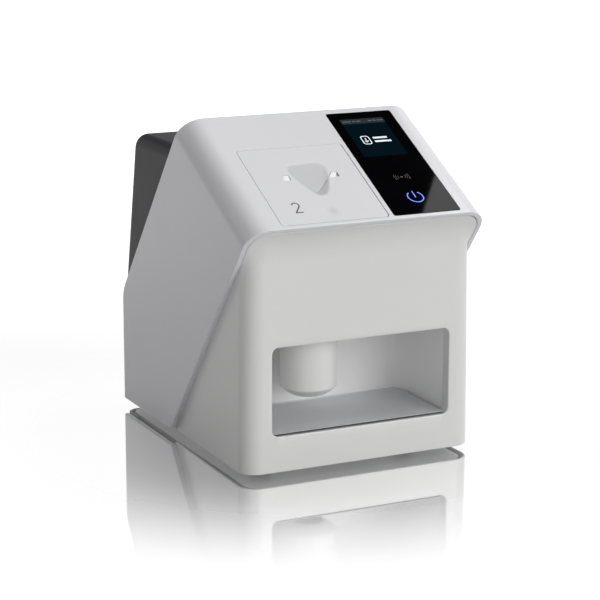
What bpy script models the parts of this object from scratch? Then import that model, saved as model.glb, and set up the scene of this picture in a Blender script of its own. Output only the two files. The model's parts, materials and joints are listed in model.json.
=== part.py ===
"""Tabletop scanner for intraoral phosphor image plates, as an assembly of separate parts.

Metres, +Z up. The parts hang from one empty whose local frame has x to the user's right, y backwards
from the front panel's face and z up from the table. The empty sits so that the world's origin is at the
bottom centre of the whole scanner.
"""

from math import acos, atan2, cos, degrees, hypot, pi, radians, sin, tan

import bmesh
import bpy

MM = 0.001

# Fits shared by all parts.
FIT = 0.3 * MM
GROOVE = 1.0 * MM
ROUND_STEPS = 5
TURN_STEPS = 32

# Hood: an inverted U with a sloping top. Its front and rear edges lean forward.
WIDTH = 210 * MM
HOOD_WALL = 4.5 * MM
HOOD_RADIUS = 20 * MM
LIP_HEIGHT = 202 * MM
LIP_OVERHANG = 14 * MM
TOP_SLOPE = radians(28)
TOP_LENGTH = 146 * MM
HOOD_FLOOR_GAP = 7 * MM
HOOD_FRONT_FOOT = 142 * MM
KINK_RADIUS = 25 * MM

# Front panel.
SHELL_WALL = 3 * MM
PANEL_FLOOR_GAP = 5.5 * MM
PANEL_RADIUS = 15 * MM
PANEL_TUCK = 14 * MM
PANEL_FLARE = 2.5 * MM
PANEL_TOE_IN = 0.3 * MM
COVE_INSET = 0.6 * MM
COVE_STEP = 4
OPENING_LOW = 34.5 * MM
OPENING_HIGH = 106 * MM
OPENING_RADIUS = 5.5 * MM
REVEAL_DEPTH = 9 * MM
REVEAL_WALL = 2 * MM
REVEAL_START = 1.5 * MM

# Rear housing.
REAR_DEPTH = 257 * MM
REAR_LEAN = radians(11)
REAR_RADIUS = 13 * MM
REAR_SIDE_RADIUS = 11 * MM
REAR_TUCK = 16 * MM
END_PANEL_DEPTH = 4 * MM

# Base, feet and screws.
BASE_THICKNESS = 3 * MM
FOOT_HEIGHT = 6 * MM
FOOT_RADIUS = 9 * MM
FOOT_INSET_X = 40 * MM
FOOT_BEVEL = 1 * MM
FOOT_FRONT = 52 * MM
SCREW_RADIUS = 3.2 * MM
SCREW_HEAD = 1.6 * MM
SCREW_SPACING = 30 * MM
POST_RADIUS = 3 * MM
POST_INSET = 8 * MM

# Output bay and tray.
LINER_WALL = 2 * MM
BAY_BACK = 80 * MM
BAY_RADIUS = 8 * MM
TRAY_WALL = 1.8 * MM
TRAY_RIM = 6 * MM
TRAY_GAP = 1 * MM

# Plate path: the plates bend round a vertical drum.
SCAN_X = -26 * MM
SCAN_Y = 44 * MM
DRUM_RADIUS = 18 * MM
DRUM_WALL = 2 * MM
SLIT_WIDTH = 5 * MM
PLATE_GAP = 1.4 * MM
GUIDE_WALL = 2 * MM
THROAT_WIDTH = 4.8 * MM
THROAT_TUCK = 0.4 * MM
THROAT_ANGLE = 68
GUIDE_NEAR = 24
GUIDE_FAR = 75
CHUTE_LOW = 54 * MM
CHUTE_LIP = 9 * MM
ERASER_WIDTH = 6 * MM

# Plate cover, in the sloping top's own x and v (distance up the slope from the lip).
COVER_RIGHT = 17 * MM
COVER_LOW = 4 * MM
COVER_HIGH = 99.5 * MM
COVER_RADIUS = 2.6 * MM
COVER_GAP = 0.4 * MM
FUNNEL_HALF = 16 * MM
FUNNEL_TOP = 78 * MM
FUNNEL_WAIST = 58 * MM
FUNNEL_TIP = 35.5 * MM
FUNNEL_DEPTH = 2 * MM
FUNNEL_CORNER = 5 * MM
# Each edge guide for the plate: side, left end, right end.
EDGE_GUIDES = (("left", -50.4 * MM, -44.6 * MM), ("right", -8.7 * MM, -1.5 * MM))
EDGE_GUIDE_LOW = 58 * MM
EDGE_GUIDE_HIGH = 63.5 * MM
EDGE_GUIDE_DEPTH = 1.2 * MM

# Display strip on the same sloping top.
GLASS_LEFT = 21.5 * MM
GLASS_LOW = 4 * MM
GLASS_HIGH = 139.5 * MM
GLASS_RADIUS = 1.7 * MM
GLASS_THICKNESS = 2 * MM
LCD_LOW = 79.3 * MM
LCD_HIGH = 130.5 * MM
LCD_EDGE = 1.2 * MM
SCREEN_WINDOW_EDGE = 1.5 * MM
POWER_V = 25.4 * MM
KEY_HALF = 12 * MM
TOUCH_BOARD_THICKNESS = 1.2 * MM
LIGHT_GUIDE_RADIUS = 7 * MM

# Inner frame.
CARRIER_THICKNESS = 3.2 * MM
CARRIER_FRONT = 12 * MM
FRAME_WALL = 2.5 * MM
FRAME_FRONT = 22 * MM
SHELF_THICKNESS = 3 * MM
SHELF_FRONT = 10 * MM

# Scanning head, in and above the drum.
WEB_RISE = 30 * MM
SPINDLE_RADIUS = 11 * MM
SPINDLE_LENGTH = 16 * MM
PRISM_RADIUS = 9 * MM
PRISM_HALF = 5 * MM
DETECTOR_RADIUS = 13 * MM
DETECTOR_DROP = 16 * MM
LASER_RADIUS = 4 * MM
LASER_DROP = 7 * MM
SUPPLY_LEFT = 20 * MM
SUPPLY_RIGHT = 62 * MM
SUPPLY_FRONT = 60 * MM
SUPPLY_REAR = 112 * MM
SUPPLY_HEIGHT = 26 * MM

# Plate transport.
ROLLER_RADIUS = 5 * MM
BELT_THICKNESS = 1.2 * MM
BELT_GAP = 1.2 * MM
BELT_WIDTH = 14 * MM
AXLE_RADIUS = 2 * MM
BEARING_GAP = 0.3 * MM
ROLLER_END_GAP = 3 * MM
IDLER_DROP = 12 * MM
BRACKET_OFFSET = 22 * MM
BRACKET_WALL = 2.5 * MM
BRACKET_MARGIN = 8 * MM
BRACKET_REAR_INSET = 6 * MM
DRIVE_PULLEY_RADIUS = 9 * MM
MOTOR_PULLEY_RADIUS = 6 * MM
PULLEY_WIDTH = 6 * MM
MOTOR_Y = 75 * MM
MOTOR_SIDE = 35 * MM
MOTOR_LENGTH = 20 * MM
MOTOR_SHAFT_RADIUS = 2.5 * MM
MOTOR_PLATE_GAP = 1.2 * MM
MOTOR_PLATE_MARGIN = 2 * MM

# Electronics.
BOARD_THICKNESS = 1.6 * MM
BOARD_LOW = 22 * MM
BOARD_HALF = 70 * MM
BOARD_FRONT = 95 * MM
HEAT_SINK_SIDE = 30 * MM
HEAT_SINK_FRONT = 130 * MM
HEAT_SINK_HEIGHT = 9 * MM
SOCKET_LENGTH = 22 * MM
SOCKET_POCKET = 13 * MM
SOCKET_EDGE = 2 * MM
SOCKET_LOW = BOARD_LOW + BOARD_THICKNESS + FIT
# Each socket: name, x, half width, height.
SOCKETS = (
    ("power_inlet", -60 * MM, 6 * MM, 11 * MM),
    ("network_socket", -32 * MM, 8 * MM, 13.5 * MM),
)

# Values worked out from the driving dimensions.
HALF = WIDTH / 2
COVER_LEFT = 30 * MM - HALF
GLASS_RIGHT = HALF - 24.5 * MM
LCD_LEFT = GLASS_LEFT + 8.5 * MM
LCD_RIGHT = GLASS_RIGHT - 11.2 * MM
POWER_X = (LCD_LEFT + LCD_RIGHT) / 2 + 1.05 * MM
FRAME_X = HALF - 21 * MM
OPENING_HALF = HALF - 26.5 * MM
BAY_HALF = OPENING_HALF - 1 * MM
CHUTE_RADIUS = DRUM_RADIUS + 5 * MM
HOOD_REAR = REAR_DEPTH - 10 * MM
FRAME_REAR = REAR_DEPTH - 52 * MM
FOOT_REAR = REAR_DEPTH - 32 * MM
BOARD_REAR = REAR_DEPTH - 14 * MM
KINK_HEIGHT = LIP_HEIGHT - 98 * MM
REAR_LEAN_START = KINK_HEIGHT + 6 * MM
REAR_HEIGHT = LIP_HEIGHT + 41.5 * MM
COVE_START = LIP_HEIGHT - 34 * MM
SLIT_HEIGHT = LIP_HEIGHT - 42 * MM
INNER_HALF = HALF - HOOD_WALL
PANEL_HALF = INNER_HALF - GROOVE
REAR_HALF = INNER_HALF - 0.5 * MM
LEAN_RUN = (HOOD_FRONT_FOOT + LIP_OVERHANG) / (LIP_HEIGHT - HOOD_FLOOR_GAP)
BASE_LOW = FOOT_HEIGHT + FIT
BASE_HIGH = BASE_LOW + BASE_THICKNESS
BASE_HALF = PANEL_HALF - SHELL_WALL - FIT
CARRIER_HIGH = -HOOD_WALL - FIT
CARRIER_LOW = CARRIER_HIGH - CARRIER_THICKNESS
FRAME_INNER = FRAME_X - FIT
TRAY_LOW = OPENING_LOW + FIT
BAY_FLOOR = TRAY_LOW - FIT - 0.6 * MM
BAY_CEILING = OPENING_HIGH + 1 * MM
SHELF_LOW = BAY_CEILING + LINER_WALL + FIT
SHELF_HIGH = SHELF_LOW + SHELF_THICKNESS
DRIVE_HEIGHT = SHELF_HIGH + 12.7 * MM
MOTOR_Z = DRIVE_HEIGHT + 8 * MM
PATH_RADIUS = DRUM_RADIUS + PLATE_GAP
ROLLER_Y = SCAN_Y - DRUM_RADIUS - BELT_GAP - BELT_THICKNESS - FIT - ROLLER_RADIUS
IDLER_HEIGHT = LIP_HEIGHT - IDLER_DROP
PULLEY_X = SCAN_X - BRACKET_OFFSET - BRACKET_WALL - 2.5 * MM - PULLEY_WIDTH

FINISHES = {
    "white_gloss": ((0.80, 0.80, 0.82), 0.22, 0.0),
    "white_satin": ((0.72, 0.73, 0.74), 0.40, 0.0),
    "anthracite": ((0.040, 0.038, 0.042), 0.45, 0.0),
    "grey_plastic": ((0.34, 0.36, 0.37), 0.45, 0.0),
    "black_plastic": ((0.02, 0.02, 0.02), 0.50, 0.0),
    "black_glass": ((0.006, 0.006, 0.008), 0.08, 0.0),
    "clear_plastic": ((0.30, 0.55, 1.00), 0.20, 0.0),
    "rubber": ((0.03, 0.03, 0.03), 0.80, 0.0),
    "steel": ((0.55, 0.56, 0.58), 0.35, 1.0),
    "aluminium": ((0.62, 0.63, 0.65), 0.40, 1.0),
    "circuit_board": ((0.02, 0.16, 0.07), 0.45, 0.0),
    "optical_glass": ((0.75, 0.80, 0.85), 0.05, 0.0),
}


# ---- Outlines -------------------------------------------------------------------------------------

def arc(cx, cy, radius, start, end, steps=ROUND_STEPS):
    """Points along an arc, with its angles in degrees."""
    angles = [radians(start + (end - start) * i / steps) for i in range(steps + 1)]
    return [(cx + radius * cos(a), cy + radius * sin(a)) for a in angles]


def rounded_rectangle(left, low, right, high, radius, steps=ROUND_STEPS):
    """A rectangle's outline with round corners, anticlockwise."""
    return (
        arc(right - radius, low + radius, radius, -90, 0, steps)
        + arc(right - radius, high - radius, radius, 0, 90, steps)
        + arc(left + radius, high - radius, radius, 90, 180, steps)
        + arc(left + radius, low + radius, radius, 180, 270, steps)
    )


def band(cx, cy, inner, outer, start, end, steps=10):
    """A curved strip between two radii."""
    return arc(cx, cy, outer, start, end, steps) + arc(cx, cy, inner, end, start, steps)


def fillet(corner, before, after, radius, steps=ROUND_STEPS):
    """Points that round off a corner between its two neighbours, as a circle tangent to both sides."""
    ax, ay = before[0] - corner[0], before[1] - corner[1]
    bx, by = after[0] - corner[0], after[1] - corner[1]
    la, lb = hypot(ax, ay), hypot(bx, by)
    ax, ay, bx, by = ax / la, ay / la, bx / lb, by / lb
    half_angle = acos(hypot(ax + bx, ay + by) / 2)
    reach, away = radius / tan(half_angle), radius / sin(half_angle)
    middle = hypot(ax + bx, ay + by)
    cx, cy = away * (ax + bx) / middle, away * (ay + by) / middle
    sweep = pi - 2 * half_angle
    points = []
    for i in range(steps + 1):
        wa, wb = sin(sweep * (1 - i / steps)) / sin(sweep), sin(sweep * i / steps) / sin(sweep)
        x = cx + wa * (reach * ax - cx) + wb * (reach * bx - cx)
        y = cy + wa * (reach * ay - cy) + wb * (reach * by - cy)
        points.append((corner[0] + x, corner[1] + y))
    return points


# ---- Meshes ---------------------------------------------------------------------------------------

AXES = {
    "xy": lambda a, b, c: (a, b, c),
    "yz": lambda a, b, c: (c, a, b),
    "xz": lambda a, b, c: (a, c, b),
}


def prism(outline, plane, start, end, bm=None):
    """An outline in the named plane, extruded along the third axis from start to end."""
    bm = bm or bmesh.new()
    place = AXES[plane]
    rings = [[bm.verts.new(place(a, b, c)) for a, b in outline] for c in (start, end)]
    bm.faces.new(rings[0])
    bm.faces.new(rings[1])
    for i in range(len(outline)):
        j = (i + 1) % len(outline)
        bm.faces.new((rings[0][i], rings[0][j], rings[1][j], rings[1][i]))
    return bm


def block(x0, y0, z0, x1, y1, z1):
    return prism([(x0, y0), (x1, y0), (x1, y1), (x0, y1)], "xy", z0, z1)


def ring_prism(outer, inner, plane, start, end):
    """A closed band between two outlines of as many points each."""
    bm = bmesh.new()
    place = AXES[plane]
    loops = [[bm.verts.new(place(a, b, c)) for a, b in line] for line in (outer, inner) for c in (start, end)]
    for first, second in ((0, 1), (1, 3), (3, 2), (2, 0)):
        for i in range(len(outer)):
            j = (i + 1) % len(outer)
            bm.faces.new((loops[first][i], loops[first][j], loops[second][j], loops[second][i]))
    return bm


def turned(profile, steps=TURN_STEPS, closed=False):
    """A profile of (radius, height) points turned about Z. A closed profile makes a hollow ring."""
    bm = bmesh.new()
    rings = []
    for radius, height in profile:
        if radius == 0:
            rings.append([bm.verts.new((0, 0, height))] * steps)
            continue
        turn = [2 * pi * i / steps for i in range(steps)]
        rings.append([bm.verts.new((radius * cos(a), radius * sin(a), height)) for a in turn])
    pairs = list(zip(rings, rings[1:]))
    if closed:
        pairs.append((rings[-1], rings[0]))
    for low, high in pairs:
        for i in range(steps):
            j = (i + 1) % steps
            corners = [low[i], low[j], high[j], high[i]]
            bm.faces.new(list(dict.fromkeys(corners)))
    if not closed:
        for ring in (rings[0], rings[-1]):
            if ring[0] is not ring[1]:
                bm.faces.new(ring)
    return bm


def disc(radius, low, high, steps=TURN_STEPS):
    return turned([(radius, low), (radius, high)], steps)


def tube(outer, inner, low, high, steps=TURN_STEPS):
    return turned([(outer, low), (outer, high), (inner, high), (inner, low)], steps, closed=True)


def round_along(bm, run, radius, steps=4):
    """Rounds the long edges that join the given (y, z) points on both sides of a prism made along X."""
    bmesh.ops.recalc_face_normals(bm, faces=bm.faces)

    def on_run(vert):
        return any(abs(vert.co.y - y) + abs(vert.co.z - z) < 1e-6 for y, z in run)

    edges = []
    for edge in bm.edges:
        first, second = edge.verts
        if abs(first.co.x - second.co.x) < 1e-6 and on_run(first) and on_run(second):
            edges.append(edge)
    bmesh.ops.bevel(bm, geom=edges, offset=radius, segments=steps, profile=0.5, affect="EDGES")
    # Where the rear wall starts to lean, the rounded faces aren't flat, so they become triangles.
    bmesh.ops.triangulate(bm, faces=bm.faces)
    return bm


# ---- Objects --------------------------------------------------------------------------------------

def frame_empty(name, location, rotation=(0, 0, 0), parent=None):
    empty = bpy.data.objects.new(name, None)
    empty.empty_display_size = 0.02
    empty.location = location
    empty.rotation_euler = rotation
    empty.parent = parent
    bpy.context.scene.collection.objects.link(empty)
    return empty


def closed_mesh(name, bm):
    """The shape as a mesh whose faces point out."""
    bmesh.ops.recalc_face_normals(bm, faces=bm.faces)
    if bm.calc_volume(signed=True) < 0:
        bmesh.ops.reverse_faces(bm, faces=bm.faces)
    mesh = bpy.data.meshes.new(name)
    bm.to_mesh(mesh)
    bm.free()
    return mesh


def add(name, bm, finish, parent, location=(0, 0, 0), rotation=(0, 0, 0)):
    """One named part with a material of its own."""
    mesh = closed_mesh(name, bm)
    mesh.shade_smooth()
    mesh.set_sharp_from_angle(angle=radians(35))
    colour, roughness, metallic = FINISHES[finish]
    material = bpy.data.materials.new(name)
    material.use_nodes = True
    shader = material.node_tree.nodes["Principled BSDF"]
    shader.inputs["Base Color"].default_value = (*colour, 1)
    shader.inputs["Roughness"].default_value = roughness
    shader.inputs["Metallic"].default_value = metallic
    mesh.materials.append(material)
    obj = bpy.data.objects.new(name, mesh)
    obj.location = location
    obj.rotation_euler = rotation
    obj.parent = parent
    bpy.context.scene.collection.objects.link(obj)
    return obj


def helper(name, bm, parent, location=(0, 0, 0), rotation=(0, 0, 0)):
    """A cutter or tool shape, which isn't a part."""
    obj = bpy.data.objects.new(name, closed_mesh(name, bm))
    obj.location = location
    obj.rotation_euler = rotation
    obj.parent = parent
    obj.hide_render = True
    obj.display_type = "WIRE"
    bpy.context.scene.collection.objects.link(obj)
    return obj


def combine(obj, operation, *tools):
    for tool in tools:
        modifier = obj.modifiers.new(tool.name, "BOOLEAN")
        modifier.operation = operation
        modifier.solver = "EXACT"
        modifier.object = tool


# ---- Shapes that several parts share --------------------------------------------------------------

def under_top(y, h):
    """Height at y of a plane parallel to the sloping top, at h along its outward normal."""
    return LIP_HEIGHT + (y + LIP_OVERHANG) * tan(TOP_SLOPE) + h / cos(TOP_SLOPE)


TOP_REAR = (TOP_LENGTH * cos(TOP_SLOPE) - LIP_OVERHANG, LIP_HEIGHT + TOP_LENGTH * sin(TOP_SLOPE))
REAR_RUN = (HOOD_REAR - TOP_REAR[0]) / (TOP_REAR[1] - KINK_HEIGHT)
REACH = LIP_HEIGHT + HOOD_REAR


def hood_front(z):
    return (LIP_HEIGHT - z) * LEAN_RUN - LIP_OVERHANG


def hood_rear(z):
    return TOP_REAR[0] + (TOP_REAR[1] - z) * REAR_RUN


def arch(half, high, radius, low):
    """An upside-down U's outer line, from its right foot over to its left foot."""
    right = arc(half - radius, high - radius, radius, 0, 90)
    left = arc(radius - half, high - radius, radius, 90, 180)
    return [(half, low)] + right + left + [(-half, low)]


def belt_line(first, first_radius, second, second_radius, steps=8):
    """The line of a belt round two circles."""
    dx, dy = second[0] - first[0], second[1] - first[1]
    wrap = degrees(acos((first_radius - second_radius) / hypot(dx, dy)))
    aim = degrees(atan2(dy, dx))
    line = arc(*first, first_radius, aim + wrap, aim + 360 - wrap, steps)
    return line + arc(*second, second_radius, aim - wrap, aim + wrap, steps)


# ---- Parts ----------------------------------------------------------------------------------------

def make_hood(device, top):
    section = arch(HALF, 0, HOOD_RADIUS, -REACH)
    section += reversed(arch(INNER_HALF, -HOOD_WALL, HOOD_RADIUS - HOOD_WALL, -REACH))
    hood = add("top_hood", prism(section, "xz", -REACH, REACH), "white_gloss", top)
    above = TOP_REAR[1] + 10 * MM
    kink = (HOOD_REAR, KINK_HEIGHT)
    side = [
        (hood_front(above), above),
        (HOOD_FRONT_FOOT, HOOD_FLOOR_GAP),
        (HOOD_REAR, HOOD_FLOOR_GAP),
        *fillet(kink, (HOOD_REAR, HOOD_FLOOR_GAP), TOP_REAR, KINK_RADIUS),
        (hood_rear(above), above),
    ]
    outline = helper("hood_side_outline", prism(side, "yz", -WIDTH, WIDTH), device)
    combine(hood, "INTERSECT", outline)

    gap = COVER_GAP
    cover = rounded_rectangle(
        COVER_LEFT - gap, COVER_LOW - gap, COVER_RIGHT + gap, COVER_HIGH + gap, COVER_RADIUS + gap
    )
    glass = rounded_rectangle(
        GLASS_LEFT - FIT, GLASS_LOW - FIT, GLASS_RIGHT + FIT, GLASS_HIGH + FIT, GLASS_RADIUS + FIT
    )
    above_top, below_wall = 2 * MM, -HOOD_WALL - 2 * MM
    edge = SCREEN_WINDOW_EDGE
    screen = block(
        LCD_LEFT - edge, LCD_LOW - edge, below_wall, LCD_RIGHT + edge, LCD_HIGH + edge, -1 * MM
    )
    key = block(
        POWER_X - KEY_HALF - FIT, POWER_V - KEY_HALF - FIT, below_wall,
        POWER_X + KEY_HALF + FIT, POWER_V + KEY_HALF + FIT, -1 * MM,
    )
    combine(
        hood, "DIFFERENCE",
        helper("cover_opening", prism(cover, "xy", below_wall, above_top), top),
        helper("glass_recess", prism(glass, "xy", -GLASS_THICKNESS - FIT, above_top), top),
        helper("screen_window", screen, top),
        helper("key_window", key, top),
    )


def make_front_panel(device, top):
    rear = hood_front(PANEL_FLOOR_GAP) + PANEL_TUCK
    line = []
    for inset, turn in ((0, 1), (SHELL_WALL, -1)):
        half, radius = PANEL_HALF - inset, PANEL_RADIUS - inset
        side = [(half, rear)] + arc(half - radius, radius + inset, radius, 0, -90)
        side += arc(radius - half, radius + inset, radius, -90, -180) + [(-half, rear)]
        line += side[::turn]
    shell = prism(line, "xy", PANEL_FLOOR_GAP, LIP_HEIGHT)
    # The foot is wider than the top, and tapers backwards so that it clears the hood.
    for vert in shell.verts:
        if vert.co.z < LIP_HEIGHT / 2:
            taper = min(1, max(0, (rear - vert.co.y) / (rear - PANEL_RADIUS)))
            wider = PANEL_FLARE * taper - PANEL_TOE_IN * (1 - taper)
            vert.co.x += wider if vert.co.x > 0 else -wider
    bmesh.ops.triangulate(shell, faces=shell.faces)
    panel = add("front_panel", shell, "white_satin", device)

    low, high = -1 * MM, LIP_HEIGHT + 10 * MM
    below = PANEL_FLOOR_GAP - 5 * MM
    tucked = [(-1 * MM, below), (hood_front(below) + PANEL_TUCK, below)]
    tucked += [(hood_front(high) + PANEL_TUCK, high), (low, high)]
    tuck = helper("panel_side_outline", prism(tucked, "yz", -WIDTH, WIDTH), device)
    combine(panel, "INTERSECT", tuck)

    # The cove flares forward in one arc, from the face up to the groove under the hood's lip.
    lean = hypot(1, LEAN_RUN)
    rim = HOOD_WALL + GROOVE
    end_y = -LIP_OVERHANG + rim * LEAN_RUN / lean
    end_z = LIP_HEIGHT - rim / lean
    rise, run = end_z - COVE_START, COVE_INSET - end_y
    radius = (rise**2 + run**2) / (2 * run)
    centre_y = COVE_INSET - radius
    sweep = radians(1)
    front = [
        (centre_y + radius * cos(i * sweep), COVE_START + radius * sin(i * sweep))
        for i in range(0, 44, COVE_STEP)
    ]
    back_y = PANEL_RADIUS + 1 * MM
    cove = front + [(front[-1][0], high), (back_y, high), (back_y, COVE_START)]
    cove_block = helper("cove", prism(cove, "yz", FIT - PANEL_HALF, PANEL_HALF - FIT), device)
    collar = rounded_rectangle(
        -OPENING_HALF - REVEAL_WALL, OPENING_LOW - REVEAL_WALL,
        OPENING_HALF + REVEAL_WALL, OPENING_HIGH + REVEAL_WALL, OPENING_RADIUS + REVEAL_WALL,
    )
    collar_block = helper("reveal", prism(collar, "xz", REVEAL_START, REVEAL_DEPTH), device)
    combine(panel, "UNION", cove_block, collar_block)

    core_half = PANEL_HALF + 0.2 * MM
    core_radius = HOOD_RADIUS - HOOD_WALL - GROOVE + 0.2 * MM
    core = arch(core_half, -rim, core_radius, -LIP_HEIGHT / 4)
    foot = core_half + 4 * PANEL_FLARE
    core = prism([(foot, -REACH), *core, (-foot, -REACH)], "xz", -REACH, REACH)
    combine(panel, "INTERSECT", helper("space_in_hood", core, top))

    inner = radius + SHELL_WALL
    hollow = [
        (centre_y + inner * cos(i * sweep), COVE_START + inner * sin(i * sweep))
        for i in range(0, 48, COVE_STEP)
    ]
    above, below = high + 5 * MM, COVE_START - 20 * MM
    hollow += [(hollow[-1][0], above), (2 * back_y, above), (2 * back_y, below), (hollow[0][0], below)]
    opening = rounded_rectangle(-OPENING_HALF, OPENING_LOW, OPENING_HALF, OPENING_HIGH, OPENING_RADIUS)
    combine(
        panel, "DIFFERENCE",
        helper("cove_hollow", prism(hollow, "yz", -FRAME_X, FRAME_X), device),
        helper("bay_opening", prism(opening, "xz", -20 * MM, 20 * MM), device),
    )


def rear_block(inset):
    """The rear housing's outer block, or with a wall's inset the space inside it, open to front and floor."""
    high, rear = REAR_HEIGHT - inset, REAR_DEPTH - inset
    low = HOOD_FLOOR_GAP - 3 * inset
    front = hood_rear(high) - REAR_TUCK - 3 * inset
    front_low = HOOD_REAR - REAR_TUCK - 3 * inset
    lean_top = (rear - (high - REAR_LEAN_START) * tan(REAR_LEAN), high)
    corner = fillet(lean_top, (rear, REAR_LEAN_START), (0, high), REAR_RADIUS - inset)
    run = [(rear, low), (rear, REAR_LEAN_START), *corner, (front, high)]
    half = REAR_HALF - inset
    bm = prism(run + [(front_low, KINK_HEIGHT), (front_low, low)], "yz", -half, half)
    return round_along(bm, run, REAR_SIDE_RADIUS - inset)


def make_rear_housing(device, top):
    housing = add("rear_housing", rear_block(0), "anthracite", device)
    combine(housing, "DIFFERENCE", helper("rear_hollow", rear_block(SHELL_WALL), device))
    sockets = []
    for name, x, half, high in SOCKETS:
        hole = block(
            x - half - FIT, REAR_DEPTH - 10 * MM, SOCKET_LOW - FIT,
            x + half + FIT, REAR_DEPTH + 10 * MM, SOCKET_LOW + high + FIT,
        )
        sockets.append(helper(name + "_cutout", hole, device))
    combine(housing, "DIFFERENCE", *sockets)

    # A dark panel closes the hood's rear mouth above the housing.
    low = REAR_HEIGHT + FIT
    high = TOP_REAR[1]
    depth = END_PANEL_DEPTH
    strip = [(hood_rear(z) - inset, z) for z, inset in (
        (low, depth), (high, depth), (high, depth + SHELL_WALL), (low, depth + SHELL_WALL)
    )]
    section = arch(INNER_HALF - FIT, -HOOD_WALL - FIT, HOOD_RADIUS - HOOD_WALL - FIT, -REACH)
    closer = add("rear_end_panel", prism(section, "xz", -REACH, REACH), "anthracite", top)
    combine(closer, "INTERSECT", helper("end_panel_outline", prism(strip, "yz", -WIDTH, WIDTH), device))


def make_base(device):
    radius = PANEL_RADIUS - SHELL_WALL - FIT
    rear = REAR_DEPTH - SHELL_WALL - FIT
    outline = rounded_rectangle(-BASE_HALF, SHELL_WALL + FIT, BASE_HALF, rear, radius)
    base = add("base_plate", prism(outline, "xy", BASE_LOW, BASE_HIGH), "grey_plastic", device)
    inset = POST_INSET
    for side, x in (("left", inset - BOARD_HALF), ("right", BOARD_HALF - inset)):
        for end, y in (("front", BOARD_FRONT + inset), ("rear", BOARD_REAR - inset)):
            post = disc(POST_RADIUS, BASE_HIGH - 1 * MM, BOARD_LOW - FIT, 16)
            combine(base, "UNION", helper(f"post_{end}_{side}", post, device, (x, y, 0)))
    x = HALF - FOOT_INSET_X
    for end, y in (("front", FOOT_FRONT), ("rear", FOOT_REAR)):
        for side, sign in (("left", -1), ("right", 1)):
            profile = [(FOOT_RADIUS - FOOT_BEVEL, 0), (FOOT_RADIUS, FOOT_BEVEL), (FOOT_RADIUS, FOOT_HEIGHT)]
            foot = turned(profile, 24)
            add(f"foot_{end}_{side}", foot, "rubber", device, (sign * x, y, 0))
            screw = disc(SCREW_RADIUS, FOOT_HEIGHT - SCREW_HEAD, FOOT_HEIGHT, 16)
            inner = y + (SCREW_SPACING if end == "front" else -SCREW_SPACING)
            add(f"base_screw_{end}_{side}", screw, "steel", device, (sign * x, inner, 0))


def bay_plan(half, front, back, radius):
    """A plan with its front corners square and its rear corners round."""
    plan = [(-half, front), (half, front)]
    plan += arc(half - radius, back - radius, radius, 0, 90)
    return plan + arc(radius - half, back - radius, radius, 90, 180)


def make_bay(device, tray_axis):
    wall = LINER_WALL
    front, behind = REVEAL_DEPTH + FIT, BAY_BACK + wall
    outer = prism(
        bay_plan(BAY_HALF + wall, front, behind, BAY_RADIUS + wall), "xy", BASE_HIGH + FIT, BAY_CEILING + wall
    )
    liner = add("bay_liner", outer, "white_satin", device)
    inner = prism(bay_plan(BAY_HALF, -front, BAY_BACK, BAY_RADIUS), "xy", BAY_FLOOR, BAY_CEILING)
    under = prism(bay_plan(BAY_HALF, -front, BAY_BACK, BAY_RADIUS), "xy", 0, BAY_FLOOR - wall)
    hole = disc(CHUTE_RADIUS + FIT, BAY_CEILING - 10 * MM, BAY_CEILING + 10 * MM)
    combine(
        liner, "DIFFERENCE",
        helper("bay_space", inner, device),
        helper("space_below_bay", under, device),
        helper("chute_hole", hole, device, (SCAN_X, SCAN_Y, 0)),
    )

    def tray_block(name, inset, make):
        """The tray's outer block, or with a wall's inset the space in it, with the opening's corner radius."""
        half, back = BAY_HALF - TRAY_GAP - inset, BAY_BACK - TRAY_GAP - inset
        start = front if inset == 0 else -front
        radius = OPENING_RADIUS - inset
        low, high = TRAY_LOW + inset, TRAY_LOW + TRAY_RIM + 5 * inset
        section = arc(half - radius, low + radius, radius, -90, 0) + [(half, high), (-half, high)]
        section += arc(radius - half, low + radius, radius, 180, 270)
        block_of = make(name, prism(section, "xz", start, back))
        plan = prism(bay_plan(half, -2 * front, back, BAY_RADIUS - inset), "xy", 0, 2 * high)
        combine(block_of, "INTERSECT", helper(name + "_plan", plan, tray_axis))
        return block_of

    tray = tray_block("output_tray", 0, lambda name, bm: add(name, bm, "grey_plastic", tray_axis))
    space = tray_block("tray_space", TRAY_WALL, lambda name, bm: helper(name, bm, tray_axis))
    combine(tray, "DIFFERENCE", space)

    top = SHELF_LOW - FIT
    inside = CHUTE_RADIUS - DRUM_WALL
    lip = CHUTE_RADIUS - CHUTE_LIP
    profile = [(CHUTE_RADIUS, top)] + arc(lip, CHUTE_LOW + CHUTE_LIP, CHUTE_LIP, 0, -90)
    profile += arc(lip, CHUTE_LOW + CHUTE_LIP, CHUTE_LIP - DRUM_WALL, -90, 0) + [(inside, top)]
    add("plate_chute", turned(profile, closed=True), "white_satin", device, (SCAN_X, SCAN_Y, 0))
    eraser = tube(inside - FIT, inside - ERASER_WIDTH, 0, BOARD_THICKNESS)
    add("eraser_light_ring", eraser, "circuit_board", device, (SCAN_X, SCAN_Y, CHUTE_LOW + 2 * CHUTE_LIP))


def throat(name, device, outer, low, high):
    """A cutter for the curved slot that a bent plate passes through."""
    slot = band(SCAN_X, SCAN_Y, DRUM_RADIUS - THROAT_TUCK, outer, -90 - THROAT_ANGLE, THROAT_ANGLE - 90)
    return helper(name, prism(slot, "xy", low, high), device)


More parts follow.
